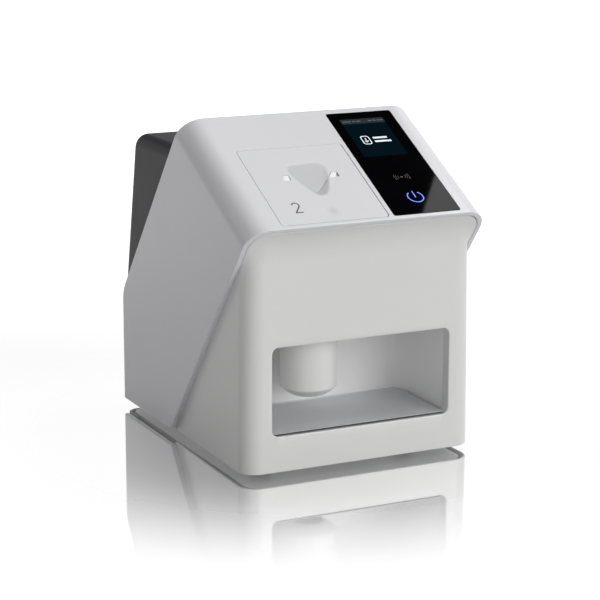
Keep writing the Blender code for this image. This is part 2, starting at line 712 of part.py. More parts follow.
def make_cover(device, top, cover_axis):
    outline = rounded_rectangle(COVER_LEFT, COVER_LOW, COVER_RIGHT, COVER_HIGH, COVER_RADIUS)
    cover = add("plate_cover", prism(outline, "xy", -HOOD_WALL, 0), "white_gloss", cover_axis)
    corner, waist = FUNNEL_CORNER, FUNNEL_WAIST
    funnel = arc(SCAN_X + FUNNEL_HALF - corner, FUNNEL_TOP - corner, corner, 0, 90, 3)
    funnel += arc(SCAN_X - FUNNEL_HALF + corner, FUNNEL_TOP - corner, corner, 90, 180, 3)
    for i in range(13):
        a = pi + pi * i / 12
        funnel.append((SCAN_X + FUNNEL_HALF * cos(a), waist + (waist - FUNNEL_TIP) * sin(a)))
    outer = DRUM_RADIUS - THROAT_TUCK + THROAT_WIDTH
    slot = throat("plate_slot", device, outer, SLIT_HEIGHT, TOP_REAR[1])
    combine(
        cover, "DIFFERENCE",
        helper("funnel", prism(funnel, "xy", -FUNNEL_DEPTH, 5 * MM), cover_axis),
        slot,
    )
    low, high, depth = EDGE_GUIDE_LOW, EDGE_GUIDE_HIGH, EDGE_GUIDE_DEPTH
    for side, left, right in EDGE_GUIDES:
        pocket = block(left - FIT, low - FIT, -depth - FIT, right + FIT, high + FIT, 5 * MM)
        combine(cover, "DIFFERENCE", helper(f"guide_recess_{side}", pocket, cover_axis))
        guide = block(left, low, -depth, right, high, 0)
        add(f"edge_guide_{side}", guide, "white_gloss", cover_axis)

    middle = (COVER_RIGHT + GLASS_LEFT) / 2
    low, high = CARRIER_FRONT, GLASS_HIGH
    seat = add(
        "cover_seat", block(-FRAME_INNER, low, CARRIER_LOW, middle - FIT / 2, high, CARRIER_HIGH),
        "grey_plastic", top,
    )
    combine(seat, "DIFFERENCE", slot)
    carrier = block(middle + FIT / 2, low, CARRIER_LOW, FRAME_INNER, high, CARRIER_HIGH)
    add("display_carrier", carrier, "grey_plastic", top)


def make_display(top):
    glass = prism(
        rounded_rectangle(GLASS_LEFT, GLASS_LOW, GLASS_RIGHT, GLASS_HIGH, GLASS_RADIUS),
        "xy", -GLASS_THICKNESS, 0,
    )
    add("display_glass", glass, "black_glass", top)
    low, high = CARRIER_HIGH + FIT, -GLASS_THICKNESS - FIT
    edge = LCD_EDGE
    lcd = block(LCD_LEFT - edge, LCD_LOW - edge, low, LCD_RIGHT + edge, LCD_HIGH + edge, high)
    add("lcd_module", lcd, "black_plastic", top)
    thick = TOUCH_BOARD_THICKNESS
    board = block(
        POWER_X - KEY_HALF, POWER_V - KEY_HALF, low, POWER_X + KEY_HALF, POWER_V + KEY_HALF, low + thick
    )
    add("touch_board", board, "circuit_board", top)
    light = disc(LIGHT_GUIDE_RADIUS, low + thick + FIT, high, 24)
    add("power_light_guide", light, "clear_plastic", top, (POWER_X, POWER_V, 0))


def make_frame(device):
    peak = hood_rear(TOP_REAR[1]) - 7 * MM
    tuck = hood_rear(REAR_HEIGHT) - REAR_TUCK - 2 * MM
    flat = REAR_HEIGHT - SHELL_WALL - FIT
    drop = CARRIER_HIGH - FIT
    side = [
        (FRAME_FRONT, under_top(FRAME_FRONT, drop)),
        (FRAME_FRONT, BASE_HIGH + FIT),
        (FRAME_REAR, BASE_HIGH + FIT),
        (FRAME_REAR, flat),
        (tuck, flat),
        (peak, under_top(peak, drop)),
    ]
    for name, x in (("left", -FRAME_X - FRAME_WALL), ("right", FRAME_X)):
        add(f"side_frame_{name}", prism(side, "yz", x, x + FRAME_WALL), "aluminium", device)
    shelf = block(-FRAME_INNER, SHELF_FRONT, SHELF_LOW, FRAME_INNER, FRAME_REAR, SHELF_HIGH)
    shelf = add("scanner_shelf", shelf, "aluminium", device)
    outer = CHUTE_RADIUS - DRUM_WALL
    combine(shelf, "DIFFERENCE", throat("shelf_slot", device, outer, SHELF_LOW - 5 * MM, SHELF_HIGH + 5 * MM))


def make_scanner(device, top, prism_axis):
    place = (SCAN_X, SCAN_Y, 0)
    foot = SHELF_HIGH + FIT
    bore = DRUM_RADIUS - DRUM_WALL
    lower = tube(DRUM_RADIUS, bore, foot, SLIT_HEIGHT - SLIT_WIDTH / 2)
    add("scan_drum_lower", lower, "black_plastic", device, place)

    web = SLIT_HEIGHT + WEB_RISE
    low, high = SLIT_HEIGHT + SLIT_WIDTH / 2, TOP_REAR[1]
    profile = [
        (DRUM_RADIUS, low), (DRUM_RADIUS, high), (bore, high), (bore, web + SHELL_WALL),
        (AXLE_RADIUS, web + SHELL_WALL), (AXLE_RADIUS, web), (bore, web), (bore, low),
    ]
    upper = add("scan_drum_upper", turned(profile, closed=True), "black_plastic", device, place)
    roof = block(SCAN_X - 2 * DRUM_RADIUS, -REACH, CARRIER_LOW - FIT, SCAN_X + 2 * DRUM_RADIUS, REACH, REACH)
    combine(upper, "DIFFERENCE", helper("drum_roof", roof, top))

    motor_low = web - FIT - SPINDLE_LENGTH
    add("spindle_motor", disc(SPINDLE_RADIUS, motor_low, web - FIT), "steel", device, place)
    shaft = motor_low - FIT - SLIT_HEIGHT
    head = turned([
        (PRISM_RADIUS, -PRISM_HALF), (PRISM_RADIUS, PRISM_HALF),
        (AXLE_RADIUS, PRISM_HALF), (AXLE_RADIUS, shaft),
    ], 24)
    add("prism_head", head, "optical_glass", prism_axis)
    tube_high = SLIT_HEIGHT - DETECTOR_DROP
    add("photomultiplier", disc(DETECTOR_RADIUS, foot, tube_high), "steel", device, place)
    laser = disc(LASER_RADIUS, tube_high + FIT, SLIT_HEIGHT - LASER_DROP, 16)
    add("laser_module", laser, "aluminium", device, place)

    inner, outer = PATH_RADIUS, PATH_RADIUS + GUIDE_WALL
    guide_top = under_top(SCAN_Y - outer, CARRIER_LOW) - 8 * MM
    near, far = GUIDE_NEAR, GUIDE_FAR
    for name, start, end in (("left", -90 - far, -90 - near), ("right", near - 90, far - 90)):
        guide = prism(band(SCAN_X, SCAN_Y, inner, outer, start, end, 6), "xy", foot, guide_top)
        add(f"plate_guide_{name}", guide, "black_plastic", device)
    can = rounded_rectangle(SUPPLY_LEFT, SUPPLY_FRONT, SUPPLY_RIGHT, SUPPLY_REAR, 2 * MM, 2)
    supply = prism(can, "xy", foot, foot + SUPPLY_HEIGHT)
    add("high_voltage_supply", supply, "steel", device)


def make_transport(device, drive_axis, idler_axis, motor_axis):
    outer_end = BRACKET_OFFSET + BRACKET_WALL
    length = BRACKET_OFFSET - ROLLER_END_GAP
    right = outer_end + 1 * MM
    lie = (0, pi / 2, 0)

    def roller(left):
        return turned([
            (AXLE_RADIUS, left), (AXLE_RADIUS, -length), (ROLLER_RADIUS, -length),
            (ROLLER_RADIUS, length), (AXLE_RADIUS, length), (AXLE_RADIUS, right),
        ], 20)

    add("drive_roller", roller(PULLEY_X - SCAN_X), "rubber", drive_axis, rotation=lie)
    add("idler_roller", roller(-right), "rubber", idler_axis, rotation=lie)
    bore = AXLE_RADIUS + FIT
    start = PULLEY_X - SCAN_X
    pulley = tube(DRIVE_PULLEY_RADIUS, bore, start, start + PULLEY_WIDTH, 24)
    add("drive_pulley", pulley, "aluminium", drive_axis, rotation=lie)

    low, high = (ROLLER_Y, DRIVE_HEIGHT), (ROLLER_Y, IDLER_HEIGHT)
    inner = belt_line(low, ROLLER_RADIUS + FIT, high, ROLLER_RADIUS + FIT)
    reach = ROLLER_RADIUS + FIT + BELT_THICKNESS
    outer = belt_line(low, reach, high, reach)
    half = BELT_WIDTH / 2
    belt = ring_prism(outer, inner, "yz", SCAN_X - half, SCAN_X + half)
    add("transport_belt", belt, "rubber", device)

    side = rounded_rectangle(
        ROLLER_Y - BRACKET_MARGIN, SHELF_HIGH + FIT,
        SCAN_Y - BRACKET_REAR_INSET, IDLER_HEIGHT + BRACKET_MARGIN, 3 * MM, 2,
    )
    for name, x in (("left", SCAN_X - outer_end), ("right", SCAN_X + BRACKET_OFFSET)):
        bracket = add(f"roller_bracket_{name}", prism(side, "yz", x, x + BRACKET_WALL), "aluminium", device)
        for end, z in (("drive", DRIVE_HEIGHT), ("idler", IDLER_HEIGHT)):
            hole = disc(AXLE_RADIUS + BEARING_GAP, x - 5 * MM, x + BRACKET_WALL + 5 * MM, 24)
            bore_name = f"{end}_bearing_{name}"
            combine(bracket, "DIFFERENCE", helper(bore_name, hole, device, (0, ROLLER_Y, z), lie))

    drive, motor = (ROLLER_Y, DRIVE_HEIGHT), (MOTOR_Y, MOTOR_Z)
    lines = [
        belt_line(drive, DRIVE_PULLEY_RADIUS + grow, motor, MOTOR_PULLEY_RADIUS + grow)
        for grow in (FIT + BELT_THICKNESS, FIT)
    ]
    belt = ring_prism(*lines, "yz", PULLEY_X + 0.5 * MM, PULLEY_X + PULLEY_WIDTH - 0.5 * MM)
    add("timing_belt", belt, "rubber", device)

    plate_high = PULLEY_X - MOTOR_PLATE_GAP
    plate_low = plate_high - BRACKET_WALL
    half = MOTOR_SIDE / 2
    pulley = turned([
        (MOTOR_SHAFT_RADIUS, plate_low - PULLEY_X), (MOTOR_SHAFT_RADIUS, 0),
        (MOTOR_PULLEY_RADIUS, 0), (MOTOR_PULLEY_RADIUS, PULLEY_WIDTH),
    ], 24)
    add("motor_pulley", pulley, "aluminium", motor_axis, rotation=lie)
    reach = half + MOTOR_PLATE_MARGIN
    plate = block(
        plate_low, MOTOR_Y - reach, SHELF_HIGH + FIT, plate_high, MOTOR_Y + reach, MOTOR_Z + half
    )
    plate = add("motor_bracket", plate, "steel", device)
    hole = disc(MOTOR_SHAFT_RADIUS + 1 * MM, plate_low - 5 * MM, plate_high + 5 * MM, 24)
    combine(plate, "DIFFERENCE", helper("motor_shaft_hole", hole, device, (0, MOTOR_Y, MOTOR_Z), lie))
    body = rounded_rectangle(MOTOR_Y - half, MOTOR_Z - half, MOTOR_Y + half, MOTOR_Z + half, 4 * MM, 2)
    high = plate_low - FIT
    add("stepper_motor", prism(body, "yz", high - MOTOR_LENGTH, high), "steel", device)


def make_electronics(device):
    board = block(-BOARD_HALF, BOARD_FRONT, BOARD_LOW, BOARD_HALF, BOARD_REAR, BOARD_LOW + BOARD_THICKNESS)
    add("main_board", board, "circuit_board", device)
    side, front = HEAT_SINK_SIDE, HEAT_SINK_FRONT
    sink = block(0, front, SOCKET_LOW, side, front + side, SOCKET_LOW + HEAT_SINK_HEIGHT)
    add("heat_sink", sink, "aluminium", device)
    rear = REAR_DEPTH - 0.5 * MM
    for name, x, half, high in SOCKETS:
        finish = "black_plastic" if name == "power_inlet" else "steel"
        body = block(x - half, rear - SOCKET_LENGTH, SOCKET_LOW, x + half, rear, SOCKET_LOW + high)
        socket = add(name, body, finish, device)
        edge = SOCKET_EDGE
        pocket = block(
            x - half + edge, rear - SOCKET_POCKET, SOCKET_LOW + edge,
            x + half - edge, rear + 5 * MM, SOCKET_LOW + high - edge,
        )
        combine(socket, "DIFFERENCE", helper(name + "_mouth", pocket, device))


def clear_scene():
    for obj in list(bpy.data.objects):
        bpy.data.objects.remove(obj, do_unlink=True)


def main():
    clear_scene()
    depth_centre = (REAR_DEPTH - LIP_OVERHANG) / 2
    device = frame_empty("device", (0, -depth_centre, 0))
    top = frame_empty("sloping_top", (0, -LIP_OVERHANG, LIP_HEIGHT), (TOP_SLOPE, 0, 0), device)
    cover_axis = frame_empty("cover_lift", (0, 0, 0), parent=top)
    tray_axis = frame_empty("tray_slide", (0, 0, 0), parent=device)
    prism_axis = frame_empty("prism_spin", (SCAN_X, SCAN_Y, SLIT_HEIGHT), parent=device)
    drive_axis = frame_empty("drive_roller_spin", (SCAN_X, ROLLER_Y, DRIVE_HEIGHT), parent=device)
    idler_axis = frame_empty("idler_roller_spin", (SCAN_X, ROLLER_Y, IDLER_HEIGHT), parent=device)
    motor_axis = frame_empty("motor_pulley_spin", (PULLEY_X, MOTOR_Y, MOTOR_Z), parent=device)
    make_hood(device, top)
    make_front_panel(device, top)
    make_rear_housing(device, top)
    make_base(device)
    make_bay(device, tray_axis)
    make_cover(device, top, cover_axis)
    make_display(top)
    make_frame(device)
    make_scanner(device, top, prism_axis)
    make_transport(device, drive_axis, idler_axis, motor_axis)
    make_electronics(device)


main()
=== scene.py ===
"""Looks of the tabletop image plate scanner: fine shells, finishes, symbols, stage, lights and camera.

Metres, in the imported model's frame. Shapes are drawn in two local frames, as the part itself is:
DEVICE has y running back from the front panel's face and z up from the table, and TOP lies on the
sloping top, with y running up the slope from the lip and z along the slope's outward normal.
"""

import json
from math import acos, asin, cos, degrees, hypot, pi, radians, sin, sqrt, tan

import bmesh
import bpy
from mathutils import Matrix, Vector


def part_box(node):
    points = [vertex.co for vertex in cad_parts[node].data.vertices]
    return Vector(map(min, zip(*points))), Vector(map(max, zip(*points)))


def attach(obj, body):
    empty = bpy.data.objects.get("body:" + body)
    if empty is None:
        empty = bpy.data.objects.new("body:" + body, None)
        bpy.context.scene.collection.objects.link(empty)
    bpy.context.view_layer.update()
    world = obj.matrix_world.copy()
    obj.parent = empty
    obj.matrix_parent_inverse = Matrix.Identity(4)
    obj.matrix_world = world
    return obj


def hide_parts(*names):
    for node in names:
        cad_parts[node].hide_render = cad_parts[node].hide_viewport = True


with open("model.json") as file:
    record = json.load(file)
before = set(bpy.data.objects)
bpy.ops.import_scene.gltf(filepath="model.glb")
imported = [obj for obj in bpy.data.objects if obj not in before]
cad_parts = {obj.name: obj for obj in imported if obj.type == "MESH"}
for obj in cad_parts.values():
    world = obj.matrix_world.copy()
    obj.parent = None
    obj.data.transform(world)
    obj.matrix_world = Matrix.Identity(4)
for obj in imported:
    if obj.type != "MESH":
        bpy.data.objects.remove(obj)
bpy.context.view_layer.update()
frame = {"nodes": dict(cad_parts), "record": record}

MM = 0.001

# ---- Sizes ----------------------------------------------------------------------------------------

HOOD_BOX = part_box("top_hood")
PANEL_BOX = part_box("front_panel")
HOUSING_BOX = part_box("rear_housing")

# Hood.
LIP_OVERHANG = 14 * MM
LIP_HEIGHT = 202 * MM
TOP_SLOPE = radians(28)
TOP_LENGTH = 146 * MM
HALF = HOOD_BOX[1].x
HOOD_WALL = 4.5 * MM
HOOD_RADIUS = 20 * MM
HOOD_FLOOR_GAP = HOOD_BOX[0].z
HOOD_FRONT_FOOT = 142 * MM
HOOD_REAR = 247 * MM
KINK_HEIGHT = 104 * MM
KINK_RADIUS = 25 * MM
RIM_ROUNDING = 1.1 * MM

# Front panel.
PANEL_FLARE = 2.5 * MM
PANEL_TOE_IN = 0.3 * MM
PANEL_HALF = PANEL_BOX[1].x - PANEL_FLARE
PANEL_LOW = PANEL_BOX[0].z
PANEL_WALL = 2.4 * MM
PANEL_RADIUS = 15 * MM
PANEL_TUCK = 7 * MM
GROOVE = 1.0 * MM
GROOVE_FIT = 0.12 * MM
GROOVE_DEPTH = 0.6 * MM
PANEL_EDGE = 1.0 * MM
# The panel's rows are coarse up to here and fine above, where it curves out to the hood's rim.
PANEL_FINE_FROM = 158 * MM
RIM_SETBACK = 5.6 * MM
# How much further than a true circle the panel's upper edge drops at its round corners.
RIM_DROP = 1.017
COVE_START = 172 * MM
COVE_RADIUS = 36.2 * MM
LEDGE_START = COVE_START - 12 * MM
LEDGE_BLEND = 2.6 * MM
OPENING_HALF = 78.5 * MM
OPENING_LOW = 34.5 * MM
OPENING_HIGH = 106 * MM
OPENING_RADIUS = 5.5 * MM
OPENING_EDGE = 1.1 * MM
REVEAL_START = 1.2 * MM
REVEAL_DEPTH = 9 * MM
REVEAL_WALL = 2 * MM

# Rear housing.
REAR_HEIGHT = HOUSING_BOX[1].z
REAR_DEPTH = HOUSING_BOX[1].y - HOOD_BOX[0].y - LIP_OVERHANG
REAR_HALF = HOUSING_BOX[1].x
REAR_LEAN = radians(11)
REAR_LEAN_START = 110 * MM
REAR_RADIUS = 13 * MM
REAR_SIDE_RADIUS = 11 * MM
REAR_TUCK = 16 * MM
REAR_WALL = 3 * MM

# Output bay, tray and chute.
BAY_HALF = 77.5 * MM
BAY_BACK = 80 * MM
BAY_CORNER = 8 * MM
BAY_CORNER_DEPTH = 26 * MM
BAY_FLOOR = 33.9 * MM
BAY_CEILING = 107 * MM
BAY_LOW = 9.6 * MM
LINER_WALL = 2 * MM
LINER_CORNER = 10 * MM
TRAY_LOW = 34.8 * MM
TRAY_WALL = 1.7 * MM
TRAY_FIT = 0.5 * MM
TRAY_RIM = 2.8 * MM
TRAY_RIM_WIDTH = 0.8 * MM
TRAY_RIM_EDGE = 0.2 * MM
TRAY_COVE = 1.0 * MM
TRAY_FRONT = 2 * MM
TRAY_LIFT = 0.4 * MM
TRAY_EDGE = 0.3 * MM
CHUTE_X = -26 * MM
CHUTE_Y = 44 * MM
CHUTE_RADIUS = 23 * MM
CHUTE_LOW = 54 * MM
CHUTE_LIP = 9 * MM
CHUTE_DOME = 31 * MM
CHUTE_EDGE = 0.8 * MM
CHUTE_WALL = 2 * MM

# Plate cover and its funnel, in the sloping top's frame.
COVER_LEFT = -75 * MM
COVER_RIGHT = 17 * MM
COVER_LOW = 4 * MM
COVER_HIGH = 99.5 * MM
COVER_GAP = 0.4 * MM
# The cover lies a little to the left in its place, so its right seam is the wider one.
COVER_SHIFT = 0.2 * MM
COVER_CORNER = 2.6 * MM
COVER_PLACE_CORNER = 3 * MM
SEAM_ROUNDING = 0.35 * MM
FUNNEL_DEPTH = 2.3 * MM
FUNNEL_TOP = 80 * MM
FUNNEL_HALF = 18 * MM
# The funnel's outline in millimetres, anticlockwise from the left of its tip.
FUNNEL_POINTS = (
    (-34.7, 41.2), (-32.9, 37.9), (-30.4, 35.7), (-26.4, 34.3), (-20.1, 36.6), (-15.2, 43.8), (-11.0, 55.6),
    (-8.2, 65.0), (-6.9, 71.0), (-7.6, 75.4), (-10.6, 78.6), (-15.0, 80.2), (-24.0, 80.5), (-35.4, 80.2),
    (-40.4, 79.3), (-43.9, 76.6), (-45.3, 71.8), (-45.0, 66.0), (-42.9, 60.4), (-39.9, 53.0), (-37.1, 46.4),
)
FUNNEL_REAR_SHARE = 0.08
FUNNEL_SIDE_SHARE = 0.5
FUNNEL_FRONT_SLOPE = 0.8
FUNNEL_WALL_SHARE = 1.15
FUNNEL_BLEND = 0.9 * MM
FUNNEL_EDGE = 1.5 * MM
FUNNEL_RUN_RIGHT = 9.0 * MM
FUNNEL_RUN_LEFT = 11 * MM
# The crease between the funnel's floor and front wall rises to the right from its low end.
CREASE_LEFT = -29 * MM
CREASE_LOW = 41.1 * MM
CREASE_SLOPE = 0.85
CREASE_CURVE = 0.0085 / MM
SLOT_WIDTH = 0.5 * MM
SLOT_LEFT = -28.6 * MM
SLOT_RIGHT = -13.4 * MM
DIMPLE = (-26.4 * MM, 16.8 * MM)
DIMPLE_RADIUS = 8 * MM
DIMPLE_STRETCH = 1.1
DIMPLE_DEPTH = 0.35 * MM
# The edge guides and the pockets they stand in, in millimetres.
GUIDE_PLANS = {
    "left": ((-50.5, 58.3), (-44.8, 58.2), (-44.6, 63.8), (-49.3, 63.8)),
    "right": ((-11.5, 57.9), (-5.3, 58.2), (-2.6, 63.4), (-7.3, 63.6)),
}
GUIDE_POCKETS = {
    "left": ((-50.9, 57.9), (-44.4, 57.8), (-44.2, 64.1), (-49.6, 64.1)),
    "right": ((-12.0, 57.5), (-2.0, 57.9), (-2.1, 63.8), (-7.5, 64.0)),
}
GUIDE_TILT = 0.1
GUIDE_DEPTH = 1.2 * MM
GUIDE_ROUNDING = 0.25 * MM

# Display strip.
GLASS_LEFT = 21.5 * MM
GLASS_RIGHT = 80.5 * MM
GLASS_LOW = 4 * MM
GLASS_HIGH = 139.5 * MM
GLASS_THICKNESS = 2 * MM
GLASS_FIT = 0.3 * MM
GLASS_CORNER = 1.7 * MM
GLASS_PLACE_CORNER = 2 * MM
LCD_LEFT = 30 * MM
LCD_RIGHT = 69.6 * MM
LCD_LOW = 79.3 * MM
LCD_HIGH = 130.3 * MM
LCD_BAR = 6.6 * MM
LCD_MARGIN = 1.5 * MM
POWER = (49.9 * MM, 24.6 * MM)
POWER_RADIUS = 6.6 * MM
POWER_STROKE = 0.85 * MM
POWER_GAP = 36
POWER_TIP = 0.6 * MM
KEY_HALF = 12.3 * MM
CONTACTLESS = (50 * MM, 50.7 * MM)
INK = 0.04 * MM

# How far a cutter reaches past the face it cuts.
BEYOND = 10 * MM
TOUCHING = 0.001 * MM

LEAN_RUN = (HOOD_FRONT_FOOT + LIP_OVERHANG) / (LIP_HEIGHT - HOOD_FLOOR_GAP)
INNER_HALF = HALF - HOOD_WALL
TOP_REAR = (TOP_LENGTH * cos(TOP_SLOPE) - LIP_OVERHANG, LIP_HEIGHT + TOP_LENGTH * sin(TOP_SLOPE))
REAR_RUN = (HOOD_REAR - TOP_REAR[0]) / (TOP_REAR[1] - KINK_HEIGHT)
REACH = LIP_HEIGHT + HOOD_REAR

DEVICE = Matrix.Translation((0, HOOD_BOX[0].y + LIP_OVERHANG, 0))
TOP = DEVICE @ Matrix.Translation((0, -LIP_OVERHANG, LIP_HEIGHT)) @ Matrix.Rotation(TOP_SLOPE, 4, "X")


def hood_front(z):
    return (LIP_HEIGHT - z) * LEAN_RUN - LIP_OVERHANG


def hood_rear(z):
    return TOP_REAR[0] + (TOP_REAR[1] - z) * REAR_RUN


# ---- Outlines -------------------------------------------------------------------------------------

def arc(cx, cy, radius, start, end, steps=12, radius_y=None):
    """Points along an arc or a quarter of an ellipse, with its angles in degrees."""
    angles = [radians(start + (end - start) * i / steps) for i in range(steps + 1)]
    return [(cx + radius * cos(a), cy + (radius_y or radius) * sin(a)) for a in angles]


def rounded_rectangle(left, low, right, high, radius, steps=8):
    return (
        arc(right - radius, low + radius, radius, -90, 0, steps)
        + arc(right - radius, high - radius, radius, 0, 90, steps)
        + arc(left + radius, high - radius, radius, 90, 180, steps)
        + arc(left + radius, low + radius, radius, 180, 270, steps)
    )


def fillet(corner, before, after, radius, steps=12):
    """Points that round off a corner between its two neighbours, as a circle tangent to both sides."""
    ahead = Vector(after) - Vector(corner)
    back = Vector(before) - Vector(corner)
    ahead.normalize()
    back.normalize()
    middle = ahead + back
    half_angle = acos(middle.length / 2)
    centre = Vector(corner) + middle.normalized() * radius / sin(half_angle)
    touch = Vector(corner) + back * radius / tan(half_angle)
    spoke = touch - centre
    turn = pi - 2 * half_angle
    side = -1 if back.cross(ahead) > 0 else 1
    points = []
    for i in range(steps + 1):
        a = side * turn * i / steps
        points.append((
            centre.x + spoke.x * cos(a) - spoke.y * sin(a),
            centre.y + spoke.x * sin(a) + spoke.y * cos(a),
        ))
    return points


def arch(half, high, radius, low):
    """An upside-down U's outer line, from its right foot over to its left foot."""
    right = arc(half - radius, high - radius, radius, 0, 90, 18)
    left = arc(radius - half, high - radius, radius, 90, 180, 18)
    return [(half, low)] + right + left + [(-half, low)]


# ---- Meshes ---------------------------------------------------------------------------------------

AXES = {
    "xy": lambda a, b, c: (a, b, c),
    "yz": lambda a, b, c: (c, a, b),
    "xz": lambda a, b, c: (a, c, b),
}


def loft(outlines, plane):
    """Outlines of as many points each, with their heights, joined into one closed shape."""
    bm = bmesh.new()
    place = AXES[plane]
    rings = [[bm.verts.new(place(a, b, height)) for a, b in line] for line, height in outlines]
    bm.faces.new(rings[0])
    bm.faces.new(rings[-1])
    for low, high in zip(rings, rings[1:]):
        for i in range(len(low)):
            j = (i + 1) % len(low)
            bm.faces.new((low[i], low[j], high[j], high[i]))
    return bm


def prism(outline, plane, start, end):
    return loft([(outline, start), (outline, end)], plane)


def block(x0, y0, z0, x1, y1, z1):
    return prism([(x0, y0), (x1, y0), (x1, y1), (x0, y1)], "xy", z0, z1)


def turned(profile, steps=96):
    """A closed profile of (radius, height) points turned about Z."""
    bm = bmesh.new()
    turn = [2 * pi * i / steps for i in range(steps)]
    rings = [[bm.verts.new((r * cos(a), r * sin(a), h)) for a in turn] for r, h in profile]
    for low, high in zip(rings, rings[1:] + rings[:1]):
        for i in range(steps):
            j = (i + 1) % steps
            bm.faces.new((low[i], low[j], high[j], high[i]))
    return bm


def grid(columns, rows, place):
    """An open sheet of quads through place(column, row)."""
    bm = bmesh.new()
    lines = [[bm.verts.new(place(c, r)) for c in columns] for r in rows]
    for low, high in zip(lines, lines[1:]):
        for i in range(len(low) - 1):
            bm.faces.new((low[i], low[i + 1], high[i + 1], high[i]))
    return bm


def spread(start, end, count):
    return [start + (end - start) * i / count for i in range(count + 1)]


def stroke(points, width, height=INK):
    """A flat line of ink or light along the points, with square ends."""
    sides = ([], [])
    for i, point in enumerate(points):
        before = Vector(points[max(i - 1, 0)])
        after = Vector(points[min(i + 1, len(points) - 1)])
        along = (after - before).normalized()
        across = Vector((-along.y, along.x)) * width / 2
        sides[0].append(tuple(Vector(point) + across))
        sides[1].append(tuple(Vector(point) - across))
    return prism(sides[0] + sides[1][::-1], "xy", 0, height)


def merged(shapes):
    """Several shapes in one mesh."""
    bm = bmesh.new()
    for shape in shapes:
        mesh = bpy.data.meshes.new("shape")
        bmesh.ops.recalc_face_normals(shape, faces=shape.faces)
        shape.to_mesh(mesh)
        shape.free()
        bm.from_mesh(mesh)
        bpy.data.meshes.remove(mesh)
    return bm


# ---- Objects --------------------------------------------------------------------------------------

def add(name, bm, matrix, closed=True):
    if closed:
        bmesh.ops.recalc_face_normals(bm, faces=bm.faces)
        if bm.calc_volume(signed=True) < 0:
            bmesh.ops.reverse_faces(bm, faces=bm.faces)
    mesh = bpy.data.meshes.new(name)
    bm.to_mesh(mesh)
    bm.free()
    obj = bpy.data.objects.new(name, mesh)
    obj.matrix_world = matrix
    bpy.context.scene.collection.objects.link(obj)
    return obj


def bake(obj):
    """Applies the object's modifiers to its mesh."""
    bpy.context.view_layer.update()
    graph = bpy.context.evaluated_depsgraph_get()
    mesh = bpy.data.meshes.new_from_object(obj.evaluated_get(graph))
    obj.modifiers.clear()
    obj.data = mesh
    return obj


def combine(obj, operation, *tools):
    for tool in tools:
        modifier = obj.modifiers.new(tool.name, "BOOLEAN")
        modifier.operation = operation
        modifier.solver = "EXACT"
        modifier.object = tool
    bake(obj)
    for tool in tools:
        bpy.data.objects.remove(tool)
    return obj


def bevel(obj, width, segments=3, angle=40):
    modifier = obj.modifiers.new("rounding", "BEVEL")
    modifier.width = width
    modifier.segments = segments
    modifier.limit_method = "ANGLE"
    modifier.angle_limit = radians(angle)
    return bake(obj)


def smooth(obj, angle=32):
    obj.data.shade_smooth()
    obj.data.set_sharp_from_angle(angle=radians(angle))
    modifier = obj.modifiers.new("normals", "WEIGHTED_NORMAL")
    modifier.keep_sharp = True
    return bake(obj)


def dress(obj, body, slot, *nodes, own_frame=False):
    """Gives a piece its finish and its body, and hides the CAD nodes that it stands for."""
    if not own_frame:
        obj.data.transform(obj.matrix_world)
        obj.matrix_world = Matrix.Identity(4)
    obj.data.materials.clear()
    obj.data.materials.append(FINISH[slot])
    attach(obj, body)
    if nodes:
        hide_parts(*nodes)
    return obj


# ---- Finishes -------------------------------------------------------------------------------------

def finish(name, colour, roughness, metallic=0.0, vary=0.03, vary_size=60 * MM, rough_vary=0.015,
           grain=0.5 * MM, relief=0.004 * MM, strength=0.2, stretch=(1, 1, 1), specular=0.5,
           transmission=0.0, emission=0.0, painted_recess_shade=None):
    """A surface whose colour and gloss drift a little from place to place, over a fine grain."""
    material = bpy.data.materials.new(name)
    material.use_nodes = True
    nodes, links = material.node_tree.nodes, material.node_tree.links
    shader = nodes["Principled BSDF"]
    shader.inputs["Metallic"].default_value = metallic
    shader.inputs["Specular IOR Level"].default_value = specular
    shader.inputs["Transmission Weight"].default_value = transmission

    place = nodes.new("ShaderNodeTexCoord")
    mapping = nodes.new("ShaderNodeMapping")
    mapping.inputs["Scale"].default_value = stretch
    links.new(place.outputs["Object"], mapping.inputs["Vector"])

    def noise(size, detail):
        node = nodes.new("ShaderNodeTexNoise")
        node.inputs["Scale"].default_value = 1 / size
        node.inputs["Detail"].default_value = detail
        links.new(mapping.outputs["Vector"], node.inputs["Vector"])
        return node

    def spread_over(node, low, high):
        span = nodes.new("ShaderNodeMapRange")
        span.inputs["From Min"].default_value = 0.3
        span.inputs["From Max"].default_value = 0.7
        span.inputs["To Min"].default_value = low
        span.inputs["To Max"].default_value = high
        links.new(node.outputs["Fac"], span.inputs["Value"])
        return span

    cloud = noise(vary_size, 1)
    ramp = nodes.new("ShaderNodeValToRGB")
    ramp.color_ramp.elements[0].position = 0.3
    ramp.color_ramp.elements[1].position = 0.7
    ramp.color_ramp.elements[0].color = (*(c * (1 - vary) for c in colour), 1)
    ramp.color_ramp.elements[1].color = (*(min(1, c * (1 + vary)) for c in colour), 1)
    links.new(cloud.outputs["Fac"], ramp.inputs["Fac"])
    skin = ramp.outputs["Color"]
    # Painted shade: the colour greys where the surface sinks below the piece's own z of 0.
    if painted_recess_shade:
        skin = painted_shade_below(nodes, links, place, skin, *painted_recess_shade)
    links.new(skin, shader.inputs["Base Color"])
    gloss = spread_over(noise(vary_size / 2, 1), roughness - rough_vary, roughness + rough_vary)
    links.new(gloss.outputs["Result"], shader.inputs["Roughness"])
    bump = nodes.new("ShaderNodeBump")
    bump.inputs["Strength"].default_value = strength
    bump.inputs["Distance"].default_value = relief
    links.new(noise(grain, 2).outputs["Fac"], bump.inputs["Height"])
    links.new(bump.outputs["Normal"], shader.inputs["Normal"])
    if emission:
        links.new(ramp.outputs["Color"], shader.inputs["Emission Color"])
        shader.inputs["Emission Strength"].default_value = emission
    return material


